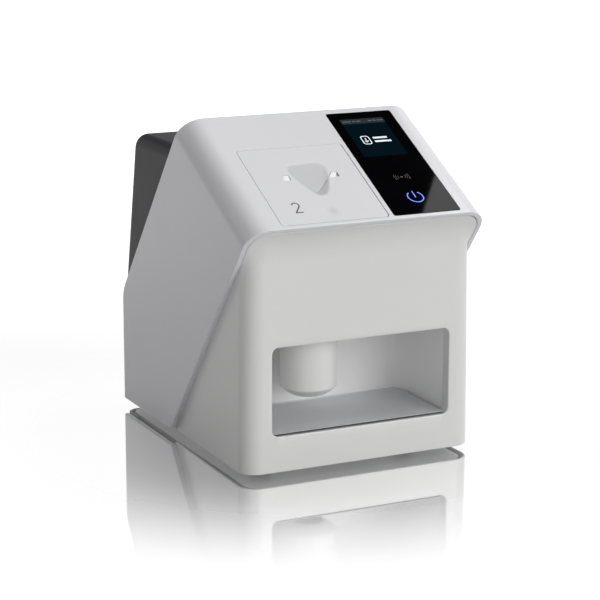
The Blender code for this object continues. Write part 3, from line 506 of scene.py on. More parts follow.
def painted_shade_below(nodes, links, place, skin, share, shallow, deep):
    """The skin's colour with painted shade, greyer where the surface lies below the piece's own z of 0."""
    axes = nodes.new("ShaderNodeSeparateXYZ")
    links.new(place.outputs["Object"], axes.inputs["Vector"])
    depth = nodes.new("ShaderNodeMapRange")
    depth.interpolation_type = "SMOOTHSTEP"
    for name, value in (("From Min", -deep), ("From Max", -shallow), ("To Min", share), ("To Max", 1)):
        depth.inputs[name].default_value = value
    links.new(axes.outputs["Z"], depth.inputs["Value"])
    scaled = nodes.new("ShaderNodeVectorMath")
    scaled.operation = "SCALE"
    links.new(skin, scaled.inputs[0])
    links.new(depth.outputs["Result"], scaled.inputs["Scale"])
    return scaled.outputs["Vector"]


FINISH = {
    "white_gloss": finish("white_gloss", (0.70, 0.70, 0.725), 0.24, vary=0.006, specular=0.35),
    # The cover's white, with painted shade in its funnel and dimple.
    "cover_white": finish("cover_white", (0.70, 0.70, 0.725), 0.24, vary=0.006, specular=0.35,
                          painted_recess_shade=(0.82, 0.03 * MM, 0.45 * MM)),
    "white_satin": finish("white_satin", (0.72, 0.72, 0.715), 0.30, vary=0.008, specular=0.4),
    # Painted light: the bay's white is brighter than the other whites, standing in for light that does not
    # reach deep into the bay.
    "bay_white": finish("bay_white", (0.87, 0.87, 0.865), 0.30, vary=0.006, specular=0.4),
    "chute_white": finish("chute_white", (0.74, 0.74, 0.735), 0.30, vary=0.006, specular=0.4),
    # A whiter white than the hood's, which paints in part of the highlight that the edge guides catch.
    "guide_white": finish("guide_white", (0.92, 0.92, 0.92), 0.20, vary=0.01),
    "anthracite": finish("anthracite", (0.0205, 0.0195, 0.0230), 0.50, vary=0.05, grain=0.9 * MM,
                         relief=0.03 * MM, strength=0.4, specular=0.15),
    "grey_plastic": finish("grey_plastic", (0.60, 0.61, 0.625), 0.32, vary=0.015, grain=0.7 * MM),
    "black_plastic": finish("black_plastic", (0.02, 0.02, 0.021), 0.45, vary=0.1, grain=0.6 * MM,
                            relief=0.03 * MM),
    "clear_plastic": finish("clear_plastic", (0.35, 0.58, 0.95), 0.25, vary=0.04, transmission=0.4),
    "rubber": finish("rubber", (0.028, 0.028, 0.029), 0.72, vary=0.15, grain=0.35 * MM,
                     relief=0.06 * MM, strength=0.6),
    "steel": finish("steel", (0.55, 0.56, 0.58), 0.30, 1.0, vary=0.06, vary_size=20 * MM,
                    grain=0.3 * MM, relief=0.01 * MM, stretch=(1, 6, 1)),
    "aluminium": finish("aluminium", (0.64, 0.65, 0.67), 0.36, 1.0, vary=0.04, vary_size=30 * MM,
                        grain=0.25 * MM, relief=0.012 * MM, stretch=(1, 1, 8)),
    "circuit_board": finish("circuit_board", (0.018, 0.13, 0.05), 0.36, vary=0.35, vary_size=6 * MM,
                            grain=1.2 * MM, relief=0.08 * MM),
    "optical_glass": finish("optical_glass", (0.85, 0.90, 0.95), 0.04, vary=0.02, rough_vary=0.02,
                            transmission=0.9),
    "ink": finish("ink", (0.075, 0.072, 0.075), 0.45, vary=0.08, vary_size=3 * MM),
    "power_blue": finish("power_blue", (0.10, 0.19, 0.95), 0.4, vary=0.12, vary_size=4 * MM, emission=0.9),
    "screen_white": finish("screen_white", (0.50, 0.55, 0.58), 0.4, vary=0.05, vary_size=5 * MM,
                           emission=0.75),
    "screen_grey": finish("screen_grey", (0.055, 0.065, 0.072), 0.4, vary=0.12, vary_size=5 * MM,
                          emission=0.5),
    "faint_mark": finish("faint_mark", (0.035, 0.020, 0.018), 0.4, vary=0.1, vary_size=4 * MM),
}


def glass_finish():
    """Black printed glass, with the lit screen and its status bar showing through a window."""
    material = bpy.data.materials.new("black_glass")
    material.use_nodes = True
    nodes, links = material.node_tree.nodes, material.node_tree.links
    shader = nodes["Principled BSDF"]
    shader.inputs["Specular IOR Level"].default_value = 0.08
    place = nodes.new("ShaderNodeTexCoord")
    axes = nodes.new("ShaderNodeSeparateXYZ")
    links.new(place.outputs["Object"], axes.inputs["Vector"])

    def math(operation, first, second):
        node = nodes.new("ShaderNodeMath")
        node.operation = operation
        for socket, value in zip(node.inputs, (first, second)):
            if isinstance(value, float):
                socket.default_value = value
            else:
                links.new(value, socket)
        return node.outputs[0]

    def between(axis, low, high):
        above = math("GREATER_THAN", axes.outputs[axis], low)
        return math("MULTIPLY", above, math("LESS_THAN", axes.outputs[axis], high))

    screen = math("MULTIPLY", between("X", LCD_LEFT, LCD_RIGHT), between("Y", LCD_LOW, LCD_HIGH))
    top_bar = math("MULTIPLY", screen, math("GREATER_THAN", axes.outputs["Y"], LCD_HIGH - LCD_BAR))

    cloud = nodes.new("ShaderNodeTexNoise")
    cloud.inputs["Scale"].default_value = 1 / (40 * MM)
    links.new(place.outputs["Object"], cloud.inputs["Vector"])

    def mixed(factor, first, second):
        node = nodes.new("ShaderNodeMix")
        node.data_type = "RGBA"
        links.new(factor, node.inputs["Factor"])
        for socket, value in ((node.inputs[6], first), (node.inputs[7], second)):
            if isinstance(value, tuple):
                socket.default_value = (*value, 1)
            else:
                links.new(value, socket)
        return node.outputs[2]

    printed = mixed(cloud.outputs["Fac"], (0.0006, 0.0006, 0.0008), (0.0014, 0.0014, 0.0018))
    lit = mixed(screen, printed, (0.0010, 0.0045, 0.0075))
    lit = mixed(top_bar, lit, (0.018, 0.023, 0.027))
    links.new(lit, shader.inputs["Base Color"])
    links.new(lit, shader.inputs["Emission Color"])
    shader.inputs["Emission Strength"].default_value = 0.5
    smear = nodes.new("ShaderNodeMapRange")
    smear.inputs["To Min"].default_value = 0.02
    smear.inputs["To Max"].default_value = 0.06
    links.new(cloud.outputs["Fac"], smear.inputs["Value"])
    links.new(smear.outputs["Result"], shader.inputs["Roughness"])
    return material


FINISH["black_glass"] = glass_finish()


# ---- Pieces ---------------------------------------------------------------------------------------

def flared_cutter(name, outline_at, plane, through, mouth, rounding, matrix, beyond=20 * MM):
    """A cutter whose mouth flares by the rounding; outline_at(growth) gives its outline."""
    side = 1 if mouth > through else -1
    rings = [(outline_at(0), through)]
    steps = 6
    for i in range(steps + 1):
        depth = rounding * (1 - i / steps)
        growth = rounding - sqrt(rounding**2 - (rounding - depth) ** 2)
        rings.append((outline_at(growth), mouth - side * depth))
    rings.append((outline_at(rounding), mouth + side * beyond))
    return add(name, loft(rings, plane), matrix)


def make_hood():
    section = arch(HALF, 0, HOOD_RADIUS, -REACH)
    section += reversed(arch(INNER_HALF, -HOOD_WALL, HOOD_RADIUS - HOOD_WALL, -REACH))
    hood = add("hood_shell", prism(section, "xz", -REACH, REACH), TOP)
    above = TOP_REAR[1] + BEYOND
    kink = (HOOD_REAR, KINK_HEIGHT)
    side = [
        (hood_front(above), above),
        (HOOD_FRONT_FOOT, HOOD_FLOOR_GAP),
        (HOOD_REAR, HOOD_FLOOR_GAP),
        *fillet(kink, (HOOD_REAR, HOOD_FLOOR_GAP), TOP_REAR, KINK_RADIUS),
        (hood_rear(above), above),
    ]
    combine(hood, "INTERSECT", add("side_outline", prism(side, "yz", -2 * HALF, 2 * HALF), DEVICE))
    bevel(hood, RIM_ROUNDING)

    def cover_outline(growth):
        edge = COVER_GAP + growth
        return rounded_rectangle(
            COVER_LEFT - edge, COVER_LOW - edge, COVER_RIGHT + edge, COVER_HIGH + edge,
            COVER_PLACE_CORNER + growth,
        )

    def glass_outline(growth):
        edge = GLASS_FIT + growth
        return rounded_rectangle(
            GLASS_LEFT - edge, GLASS_LOW - edge, GLASS_RIGHT + edge, GLASS_HIGH + edge,
            GLASS_PLACE_CORNER + growth,
        )

    below = -HOOD_WALL - 2 * MM
    shelf = -GLASS_THICKNESS - GLASS_FIT
    screen = block(
        LCD_LEFT - LCD_MARGIN, LCD_LOW - LCD_MARGIN, below,
        LCD_RIGHT + LCD_MARGIN, LCD_HIGH + LCD_MARGIN, shelf / 2,
    )
    window = block(
        POWER[0] - KEY_HALF, POWER[1] - KEY_HALF, below, POWER[0] + KEY_HALF, POWER[1] + KEY_HALF, shelf / 2
    )
    combine(
        hood, "DIFFERENCE",
        flared_cutter("cover_opening", cover_outline, "xy", below, 0, SEAM_ROUNDING, TOP),
        flared_cutter("glass_recess", glass_outline, "xy", shelf, 0, SEAM_ROUNDING, TOP),
        add("screen_window", screen, TOP),
        add("key_window", window, TOP),
    )
    smooth(hood)
    dress(hood, "scanner", "white_gloss", "top_hood")


def eased(share):
    share = min(max(share, 0), 1)
    return share * share * (3 - 2 * share)


def softer_least(first, second, blend):
    """The lesser of two heights, with the corner between them rounded."""
    if blend <= 0:
        return min(first, second)
    near = max(blend - abs(first - second), 0) / blend
    return min(first, second) - near**2 * blend / 4


def make_panel():
    lean = hypot(1, LEAN_RUN)
    flat_half = PANEL_HALF - PANEL_RADIUS
    coarse = PANEL_FINE_FROM - PANEL_LOW
    rear = PANEL_BOX[1].y - HOOD_BOX[0].y - LIP_OVERHANG

    def cove(z):
        if z < COVE_START:
            return 0
        return sqrt(COVE_RADIUS**2 - (z - COVE_START) ** 2) - COVE_RADIUS

    def rim_z(share):
        """The panel's upper edge, which keeps one distance to the hood's rim and drops at its corners."""
        setback = RIM_SETBACK + (1 - sqrt(1 - share**2)) * PANEL_RADIUS * RIM_DROP
        return LIP_HEIGHT - setback / lean

    def face(column, row):
        """A point on the panel, whose columns run over the front, round both corners and back."""
        x, angle, back = column
        share = sin(radians(angle))
        level = rim_z(share) if row > 1 else 0
        if row <= 1:
            z = PANEL_LOW + row * coarse
        else:
            z = PANEL_FINE_FROM + (row - 1) * (level - PANEL_FINE_FROM)
        low = z - PANEL_LOW
        inset = PANEL_EDGE - sqrt(PANEL_EDGE**2 - (PANEL_EDGE - low) ** 2) if low < PANEL_EDGE else 0
        side = -1 if x < 0 else 1
        half = flat_half + (PANEL_RADIUS - inset) * share if angle else abs(x)
        corner = PANEL_RADIUS - (PANEL_RADIUS - inset) * cos(radians(angle))
        flare = cove(z)
        if z > LEDGE_START:
            reach = hood_front(z) - flare
            y = softer_least(corner, flare + max(reach, 0) * share**1.5, LEDGE_BLEND * eased(share))
        else:
            y = corner
        if angle == 90:
            front = min(PANEL_RADIUS, hood_front(z))
            y = front + back * (hood_front(z) - front)
        taper = min(1, max(0, (rear - y) / (rear - PANEL_RADIUS)))
        wider = PANEL_FLARE * taper - PANEL_TOE_IN * (1 - taper)
        half += wider * (LIP_HEIGHT - z) / (LIP_HEIGHT - PANEL_LOW) * half / PANEL_HALF
        return (side * half, y, z)

    edge_rows = [i * PANEL_EDGE / 4 / coarse for i in range(4)]
    rows = edge_rows + spread(PANEL_EDGE / coarse, 1, 16) + spread(1, 2, 36)[1:]
    angles = spread(0, 90, 18)[1:]
    flat = [(x, 0, 0) for x in spread(-flat_half, flat_half, 26)]
    left = [(-1, a, 0) for a in reversed(angles)]
    right = [(1, a, 0) for a in angles]
    backs = spread(0, 1, 6)[1:]
    columns = [(-1, 90, b) for b in reversed(backs)] + left + flat + right + [(1, 90, b) for b in backs]
    bm = grid(columns, rows, face)
    bmesh.ops.remove_doubles(bm, verts=bm.verts, dist=0.01 * MM)
    into_top = TOP.inverted() @ DEVICE
    out_of_top = into_top.inverted()
    corner_centre = Vector((flat_half, -RIM_SETBACK - PANEL_RADIUS))
    edge = [e for e in bm.edges if e.is_boundary and max(v.co.z for v in e.verts) > PANEL_LOW + TOUCHING]
    for deeper, wider in ((GROOVE_DEPTH, 0), (0, GROOVE - 2 * GROOVE_FIT), (PANEL_TUCK, 0)):
        grown = bmesh.ops.extrude_edge_only(bm, edges=edge)["geom"]
        for vert in grown:
            if not isinstance(vert, bmesh.types.BMVert):
                continue
            place = into_top @ vert.co
            outward = Vector((abs(place.x) - corner_centre.x, place.z - corner_centre.y))
            outward = Vector((max(outward.x, 0), max(outward.y, 0))).normalized() * wider
            place.x += outward.x if place.x > 0 else -outward.x
            place.z += outward.y
            place.y += deeper
            vert.co = out_of_top @ place
        edge = [e for e in grown if isinstance(e, bmesh.types.BMEdge)]
    bmesh.ops.recalc_face_normals(bm, faces=bm.faces)
    front_face = min(bm.faces, key=lambda f: (f.calc_center_median() - Vector((0, 0, 20 * MM))).length)
    if front_face.normal.y > 0:
        bmesh.ops.reverse_faces(bm, faces=bm.faces)
    panel = add("panel_shell", bm, DEVICE, closed=False)
    wall = panel.modifiers.new("wall", "SOLIDIFY")
    wall.thickness = PANEL_WALL
    wall.offset = -1
    bake(panel)

    def opening(growth):
        return rounded_rectangle(
            -OPENING_HALF - growth, OPENING_LOW - growth, OPENING_HALF + growth, OPENING_HIGH + growth,
            OPENING_RADIUS + growth,
        )

    collar = add("reveal_collar", prism(opening(REVEAL_WALL), "xz", REVEAL_START, REVEAL_DEPTH), DEVICE)
    combine(panel, "UNION", collar)
    mouth = flared_cutter("bay_opening", opening, "xz", 3 * BEYOND, 0, OPENING_EDGE, DEVICE)
    combine(panel, "DIFFERENCE", mouth)
    smooth(panel, 40)
    dress(panel, "scanner", "white_satin", "front_panel")


def rear_block(inset):
    """The rear housing's outer block, or with a wall's inset the space inside it, open to front and floor."""
    high, rear = REAR_HEIGHT - inset, REAR_DEPTH - inset
    low = HOOD_FLOOR_GAP - 3 * inset
    front = hood_rear(high) - REAR_TUCK - 3 * inset
    front_low = HOOD_REAR - REAR_TUCK - 3 * inset
    lean_top = (rear - (high - REAR_LEAN_START) * tan(REAR_LEAN), high)
    corner = fillet(lean_top, (rear, REAR_LEAN_START), (0, high), REAR_RADIUS - inset)
    run = [(rear, low), (rear, REAR_LEAN_START), *corner, (front, high)]
    half = REAR_HALF - inset
    bm = prism(run + [(front_low, KINK_HEIGHT), (front_low, low)], "yz", -half, half)
    bmesh.ops.recalc_face_normals(bm, faces=bm.faces)
    on_run = {v for v in bm.verts if any(hypot(v.co.y - y, v.co.z - z) < TOUCHING for y, z in run)}
    edges = [e for e in bm.edges if on_run.issuperset(e.verts)]
    edges = [e for e in edges if abs(e.verts[0].co.x - e.verts[1].co.x) < TOUCHING]
    bmesh.ops.bevel(
        bm, geom=edges, offset=REAR_SIDE_RADIUS - inset, segments=8, profile=0.5, affect="EDGES"
    )
    bmesh.ops.triangulate(bm, faces=[f for f in bm.faces if len(f.verts) > 3])
    return bm


def make_rear_housing():
    housing = add("housing_shell", rear_block(0), DEVICE)
    cutters = [add("housing_space", rear_block(REAR_WALL), DEVICE)]
    for name in ("power_inlet", "network_socket"):
        low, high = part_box(name)
        gap = Vector((GLASS_FIT, 0, GLASS_FIT))
        low, high = DEVICE.inverted() @ low - gap, DEVICE.inverted() @ high + gap
        hole = block(low.x, REAR_DEPTH - BEYOND, low.z, high.x, REAR_DEPTH + BEYOND, high.z)
        cutters.append(add(name + "_cutout", hole, DEVICE))
    combine(housing, "DIFFERENCE", *cutters)
    smooth(housing, 30)
    dress(housing, "scanner", "anthracite", "rear_housing")


def funnel_outline():
    """A closed smooth curve through the funnel's measured points."""
    line = []
    points = [Vector((x * MM, v * MM)) for x, v in FUNNEL_POINTS]
    count = len(points)
    for i in range(count):
        before, start, end, after = (points[(i + k) % count] for k in (-1, 0, 1, 2))
        for t in (0, 0.25, 0.5, 0.75):
            place = 2 * start + (end - before) * t
            place += (2 * before - 5 * start + 4 * end - after) * t * t
            place += (3 * start - before - 3 * end + after) * t ** 3
            line.append(tuple(place / 2))
    return line


def distance_inside(point, line):
    """How far a point lies inside an anticlockwise convex outline, or 0 outside it."""
    least = 1.0
    for i in range(len(line)):
        x0, y0 = line[i - 1]
        x1, y1 = line[i]
        length = hypot(x1 - x0, y1 - y0)
        if length > 0:
            inside = ((x1 - x0) * (point[1] - y0) - (y1 - y0) * (point[0] - x0)) / length
            least = min(least, inside)
    return max(least, 0)


def make_cover():
    line = funnel_outline()

    def crease(x):
        """Where the funnel's floor meets its front wall, which is the mouth of the slot."""
        along = x - CREASE_LEFT
        return CREASE_LOW + CREASE_SLOPE * along + CREASE_CURVE * max(along, 0) ** 2

    def sink(x, v):
        """Depth of the cover's surface in the funnel, which falls from its rear edge, or in the dimple."""
        inside = distance_inside((x, v), line)
        if inside <= 0:
            away = hypot(x - DIMPLE[0], (v - DIMPLE[1]) / DIMPLE_STRETCH)
            return DIMPLE_DEPTH * eased(1 - away / DIMPLE_RADIUS)
        off = (x - CHUTE_X) / FUNNEL_HALF
        leftward = eased(0.5 - off)
        run = FUNNEL_RUN_RIGHT + (FUNNEL_RUN_LEFT - FUNNEL_RUN_RIGHT) * leftward
        deepest = FUNNEL_DEPTH * (1 - FUNNEL_SIDE_SHARE * min(1, off * off))
        level = max(v, crease(x))
        fall = min(1, (FUNNEL_TOP - level) / (FUNNEL_TOP - CREASE_LOW))
        floor = deepest * (FUNNEL_REAR_SHARE + (1 - FUNNEL_REAR_SHARE) * fall)
        if v < crease(x):
            floor *= eased(inside / (inside + FUNNEL_FRONT_SLOPE * (crease(x) - v)))
        wall = FUNNEL_WALL_SHARE * FUNNEL_DEPTH * eased(inside / run)
        return softer_least(floor, wall, FUNNEL_BLEND * eased(inside / FUNNEL_EDGE))

    past = 1 * MM
    fine = 0.75 * MM
    left, right = CHUTE_X - 20 * MM, CHUTE_X + 20 * MM
    low, high = 8 * MM, 80 * MM
    columns = spread(COVER_LEFT - past, left, 5)[:-1] + spread(left, right, round((right - left) / fine))
    columns += spread(right, COVER_RIGHT + past, 5)[1:]
    rows = [COVER_LOW - past] + spread(low, high, round((high - low) / fine))
    rows += spread(high, COVER_HIGH + past, 4)[1:]
    bm = grid(columns, rows, lambda x, v: (x, v, -sink(x, v)))
    rim = [e for e in bm.edges if e.is_boundary]
    skirt = bmesh.ops.extrude_edge_only(bm, edges=rim)
    for vert in skirt["geom"]:
        if isinstance(vert, bmesh.types.BMVert):
            vert.co.z = -HOOD_WALL
    bmesh.ops.holes_fill(bm, edges=[e for e in bm.edges if e.is_boundary])
    cover = add("cover_plate", bm, TOP)

    def outline(growth):
        return rounded_rectangle(
            COVER_LEFT - COVER_SHIFT - growth, COVER_LOW - growth, COVER_RIGHT - COVER_SHIFT + growth,
            COVER_HIGH + growth, COVER_CORNER + growth,
        )

    rings = [(outline(0), -HOOD_WALL - past)]
    for a in range(0, 76, 15):
        inset = SEAM_ROUNDING * (1 - cos(radians(a)))
        rings.append((outline(-inset), -SEAM_ROUNDING * (1 - sin(radians(a)))))
    rings.append((outline(-SEAM_ROUNDING * 1.6), 0.3 * MM))
    combine(cover, "INTERSECT", add("cover_outline", loft(rings, "xy"), TOP))

    across = spread(SLOT_LEFT, SLOT_RIGHT, 24)
    slot = [(x, crease(x) - SLOT_WIDTH / 2) for x in across]
    slot += [(x, crease(x) + SLOT_WIDTH / 2) for x in reversed(across)]
    cutters = [add("slot", prism(slot, "xy", -BEYOND, 5 * MM), TOP)]
    for side, plan in GUIDE_POCKETS.items():
        corners = [(x * MM, v * MM) for x, v in plan]
        pocket = prism(corners, "xy", -GUIDE_DEPTH - GLASS_FIT, 5 * MM)
        cutters.append(add(f"guide_pocket_{side}", pocket, TOP))
    combine(cover, "DIFFERENCE", *cutters)
    smooth(cover, 35)
    dress(cover, "cover", "cover_white", "plate_cover", own_frame=True)

    for side, plan in GUIDE_PLANS.items():
        corners = [(x * MM, v * MM) for x, v in plan]
        guide = add(f"guide_{side}", prism(corners, "xy", -GUIDE_DEPTH, 0), TOP)
        for vert in guide.data.vertices:
            if vert.co.z > -GUIDE_DEPTH / 2:
                vert.co.z -= GUIDE_TILT * (plan[2][1] * MM - vert.co.y)
        bevel(guide, GUIDE_ROUNDING, 2)
        smooth(guide)
        dress(guide, "cover", "guide_white", f"edge_guide_{side}")

    # The size number of the plate that the cover takes: a hook, a diagonal and a foot.
    hook = arc(-54.4 * MM, 26.9 * MM, 2.9 * MM, 165, -12, 14)
    foot_left = (-57.3 * MM, 18.0 * MM)
    number = hook + [(-52.3 * MM, 24.6 * MM), foot_left]
    foot = [foot_left, (-51.0 * MM, 18.0 * MM)]
    width = 1.1 * MM
    shapes = [stroke(number, width), stroke([(foot_left[0] - 0.35 * MM, foot_left[1]), foot[1]], width)]
    digit = add("number_two", merged(shapes), TOP, closed=False)
    dress(digit, "cover", "ink")


def make_glass():
    def outline(growth):
        return rounded_rectangle(
            GLASS_LEFT - growth, GLASS_LOW - growth, GLASS_RIGHT + growth, GLASS_HIGH + growth,
            GLASS_CORNER + growth,
        )

    rings = [(outline(0), -GLASS_THICKNESS)]
    for a in range(0, 91, 15):
        inset = SEAM_ROUNDING * (1 - cos(radians(a)))
        rings.append((outline(-inset), -SEAM_ROUNDING * (1 - sin(radians(a)))))
    glass = add("glass_strip", loft(rings, "xy"), TOP)
    smooth(glass)
    dress(glass, "scanner", "black_glass", "display_glass", own_frame=True)

    x, v = POWER
    ring = stroke(arc(x, v, POWER_RADIUS, 90 + POWER_GAP, 450 - POWER_GAP, 48), POWER_STROKE)
    bar = stroke([(x, v + POWER_RADIUS + POWER_TIP), (x, v - POWER_TIP)], POWER_STROKE)
    power = add("power_symbol", merged([ring, bar]), TOP, closed=False)
    dress(power, "scanner", "power_blue")

    x, v = CONTACTLESS
    waves = [stroke(arc(x, v, 0.7 * MM, 0, 359, 16), 0.8 * MM)]
    for radius in (3.2 * MM, 5.0 * MM, 6.8 * MM):
        for turn in (0, 180):
            waves.append(stroke(arc(x, v, radius, turn - 32, turn + 32, 12), 0.45 * MM))
    mark = add("contactless_mark", merged(waves), TOP, closed=False)
    dress(mark, "scanner", "faint_mark")

    # A plain picture of an image plate with an arrow into the scanner, and two lines of a menu.
    left, low, right, high = 38 * MM, 96 * MM, 45 * MM, 106.5 * MM
    frame_line = rounded_rectangle(left, low, right, high, 2 * MM, 4)
    icon = [stroke(frame_line + frame_line[:1], 0.9 * MM)]
    middle = (left + right) / 2
    icon.append(stroke([(middle, high - 2.6 * MM), (middle, low + 2.6 * MM)], 0.9 * MM))
    wing, rise = 1.6 * MM, low + 4.4 * MM
    barb = [(middle - wing, rise), (middle, low + 2.4 * MM), (middle + wing, rise)]
    icon.append(stroke(barb, 0.9 * MM))
    for row, length in ((103.6 * MM, 13 * MM), (98.8 * MM, 15 * MM)):
        icon.append(stroke([(48.5 * MM, row), (48.5 * MM + length, row)], 2.2 * MM))
    symbol = add("screen_icon", merged(icon), TOP, closed=False)
    dress(symbol, "scanner", "screen_white")

    bar_v = LCD_HIGH - LCD_BAR / 2
    marks = []
    for start, end in ((31.5, 39), (40.5, 43), (44.2, 48), (55, 58), (59.2, 62), (63.2, 65), (66, 68.2)):
        marks.append(stroke([(start * MM, bar_v), (end * MM, bar_v)], 1.3 * MM))
    status = add("status_marks", merged(marks), TOP, closed=False)
    dress(status, "scanner", "screen_grey")


def bay_plan(half, front, back, corner, corner_depth):
    """A plan with square front corners, and rear corners that sweep round in a quarter of an ellipse."""
    plan = [(-half, front), (half, front)]
    plan += arc(half - corner, back - corner_depth, corner, 0, 90, 14, corner_depth)
    return plan + arc(corner - half, back - corner_depth, corner, 90, 180, 14, corner_depth)


def make_bay():
    wall = LINER_WALL
    front = REVEAL_DEPTH + GLASS_FIT
    half, back = BAY_HALF, BAY_BACK
    outline = bay_plan(half + wall, front, back + wall, LINER_CORNER, LINER_CORNER)
    liner = add("bay_shell", prism(outline, "xy", BAY_LOW, BAY_CEILING + wall), DEVICE)
    inner = bay_plan(OPENING_HALF, -front, back, BAY_CORNER, BAY_CORNER_DEPTH)
    under = bay_plan(half, -front, back, BAY_CORNER, BAY_CORNER)
    turn = spread(0, 2 * pi, 96)[:-1]
    bore = CHUTE_RADIUS + GLASS_FIT
    hole = [(CHUTE_X + bore * cos(a), CHUTE_Y + bore * sin(a)) for a in turn]
    combine(
        liner, "DIFFERENCE",
        add("bay_space", prism(inner, "xy", BAY_FLOOR, BAY_CEILING), DEVICE),
        add("space_below", prism(under, "xy", 0, BAY_FLOOR - wall), DEVICE),
        add("chute_hole", prism(hole, "xy", BAY_CEILING - BEYOND, BAY_CEILING + BEYOND), DEVICE),
    )
    smooth(liner, 30)
    dress(liner, "scanner", "bay_white", "bay_liner")

    make_tray()


def make_tray():
    """A shallow pan whose floor rises into its rim in a cove, open and level at the front."""
    half = OPENING_HALF - TRAY_FIT
    low = TRAY_LOW + TRAY_LIFT
    high = TRAY_LOW + TRAY_RIM
    floor = TRAY_LOW + TRAY_WALL

    def outer_at(inset):
        return bay_plan(
            half - inset, TRAY_FRONT - TRAY_RIM_WIDTH - TRAY_COVE + inset, BAY_BACK - TRAY_FIT - inset,
            BAY_CORNER - inset * 0.5, BAY_CORNER_DEPTH - inset * 0.5,
        )

    rings = [(outer_at(0), low), (outer_at(0), high - TRAY_RIM_EDGE), (outer_at(TRAY_RIM_EDGE), high)]
    rings.append((outer_at(TRAY_RIM_WIDTH), high))
    steps = 8
    for i in range(1, steps + 1):
        a = radians(90 * i / steps)
        inset = TRAY_RIM_WIDTH + TRAY_COVE * (1 - cos(a))
        rings.append((outer_at(inset), high - (high - floor) * sin(a)))
    tray = add("tray_pan", loft(rings, "xy"), DEVICE)
    # Its lower corners follow the opening's.
    radius = OPENING_RADIUS
    section = arc(half - radius, low + radius, radius, -90, 0) + [(half, 2 * high), (-half, 2 * high)]
    section += arc(radius - half, low + radius, radius, 180, 270)
    room = prism(section, "xz", TRAY_FRONT, 2 * BAY_BACK)
    combine(tray, "INTERSECT", add("tray_room", room, DEVICE))
    # The front edge is cut away below, so that it ends thin over a shadow gap.
    ahead, under = TRAY_FRONT - 1 * MM, low - 1 * MM
    wedge = [
        (ahead, under), (TRAY_FRONT + 9 * MM, under),
        (TRAY_FRONT + 5 * MM, floor - TRAY_EDGE), (ahead, floor - TRAY_EDGE),
    ]
    combine(tray, "DIFFERENCE", add("tray_undercut", prism(wedge, "yz", -HALF, HALF), DEVICE))
    smooth(tray, 40)
    dress(tray, "tray", "grey_plastic", "output_tray")
    # Painted shadow: a black strip under the tray's front edge darkens the gap below it.
    strip = add("tray_shadow_strip", prism(section, "xz", TRAY_FRONT + 0.5 * MM, TRAY_FRONT + 2.5 * MM), DEVICE)
    below = block(-HALF, -REVEAL_DEPTH - GLASS_FIT, 0, HALF, BAY_BACK, floor - TRAY_EDGE - 0.05 * MM)
    combine(strip, "INTERSECT", add("shadow_strip_room", below, DEVICE))
    dress(strip, "tray", "rubber")


def make_chute():
    inner = CHUTE_RADIUS - CHUTE_WALL
    top = DEVICE.inverted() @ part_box("plate_chute")[1]
    # Below a small edge, its lower end draws in like a dome with the bore cut through it.
    edge = asin(CHUTE_RADIUS / CHUTE_DOME)
    mouth = asin((CHUTE_RADIUS - CHUTE_LIP) / CHUTE_DOME)
    middle = CHUTE_LOW + CHUTE_DOME * cos(mouth)
    angles = spread(degrees(edge) - 90, degrees(mouth) - 90, 12)
    dome = [(CHUTE_DOME * cos(radians(a)), middle + CHUTE_DOME * sin(radians(a))) for a in angles]
    profile = [(CHUTE_RADIUS, top.z)] + fillet(dome[0], (CHUTE_RADIUS, top.z), dome[1], CHUTE_EDGE) + dome[1:]
    profile += [(x - CHUTE_WALL, z) for x, z in reversed(dome)] + [(inner, top.z)]
    chute = add("chute_shell", turned(profile), DEVICE @ Matrix.Translation((CHUTE_X, CHUTE_Y, 0)))
    smooth(chute, 50)
    dress(chute, "scanner", "chute_white", "plate_chute")


def dress_frame():
    """Gives each CAD node that still shows the finish of its slot."""
    slots = {part["node"]: part["material_slot"] for part in frame["record"]["subparts"]}
    for name, node in frame["nodes"].items():
        node.data.materials.clear()
        node.data.materials.append(FINISH[slots[name]])


# ---- Stage ----------------------------------------------------------------------------------------

CAMERA_PLACE = DEVICE @ Vector((-0.7452, -1.4037, 0.5098))
CAMERA_RIGHT = (0.89759539, -0.44081546, 0.00206032)
CAMERA_UP = (0.09900971, 0.20615514, 0.97349737)
CAMERA_LENS = 125.22
CAMERA_SENSOR = 36
FLOOR_HALF = 14.0
FLOOR_ALBEDO = 0.5
FLOOR_GLOW = 0.62
GLOW_FADE = (0.35, 1.2)
MIRROR_ROUGHNESS = 0.03
MIRROR_SHARE = 0.88
MIRROR_FADE = (0.14, 0.37)
MIRROR_SLANT = (0.52, 0.60)
WORLD_LIGHT = 0.18
SUN_DISTANCE = 3
# Each sun: name, direction that it shines from, strength and softness.
SUNS = (
    ("key", (0.30, 0.10, 0.90), 1.65, radians(50)),
    ("front_fill", (0.42, -0.87, 0.26), 1.70, radians(45)),
    ("left_fill", (-0.50, -0.85, 0.12), 0.36, radians(40)),
)
# A dark card over the table, which only glossy surfaces see: the black glass mirrors it.
CARD_HEIGHT = 0.95
CARD_REACH = 1.6
CARD_EDGE = ((79.3 * MM, 48.4 * MM), (47.5 * MM, 5.1 * MM))


def make_camera():
    data = bpy.data.cameras.new("camera")
    data.sensor_width = CAMERA_SENSOR
    data.lens = CAMERA_LENS
    data.clip_start = 0.05
    data.clip_end = 60
    camera = bpy.data.objects.new("camera", data)
    right, up = Vector(CAMERA_RIGHT), Vector(CAMERA_UP)
    turn = Matrix((right, up, right.cross(up))).transposed()
    camera.matrix_world = Matrix.Translation(CAMERA_PLACE) @ turn.to_4x4()
    bpy.context.scene.collection.objects.link(camera)
    bpy.context.scene.camera = camera


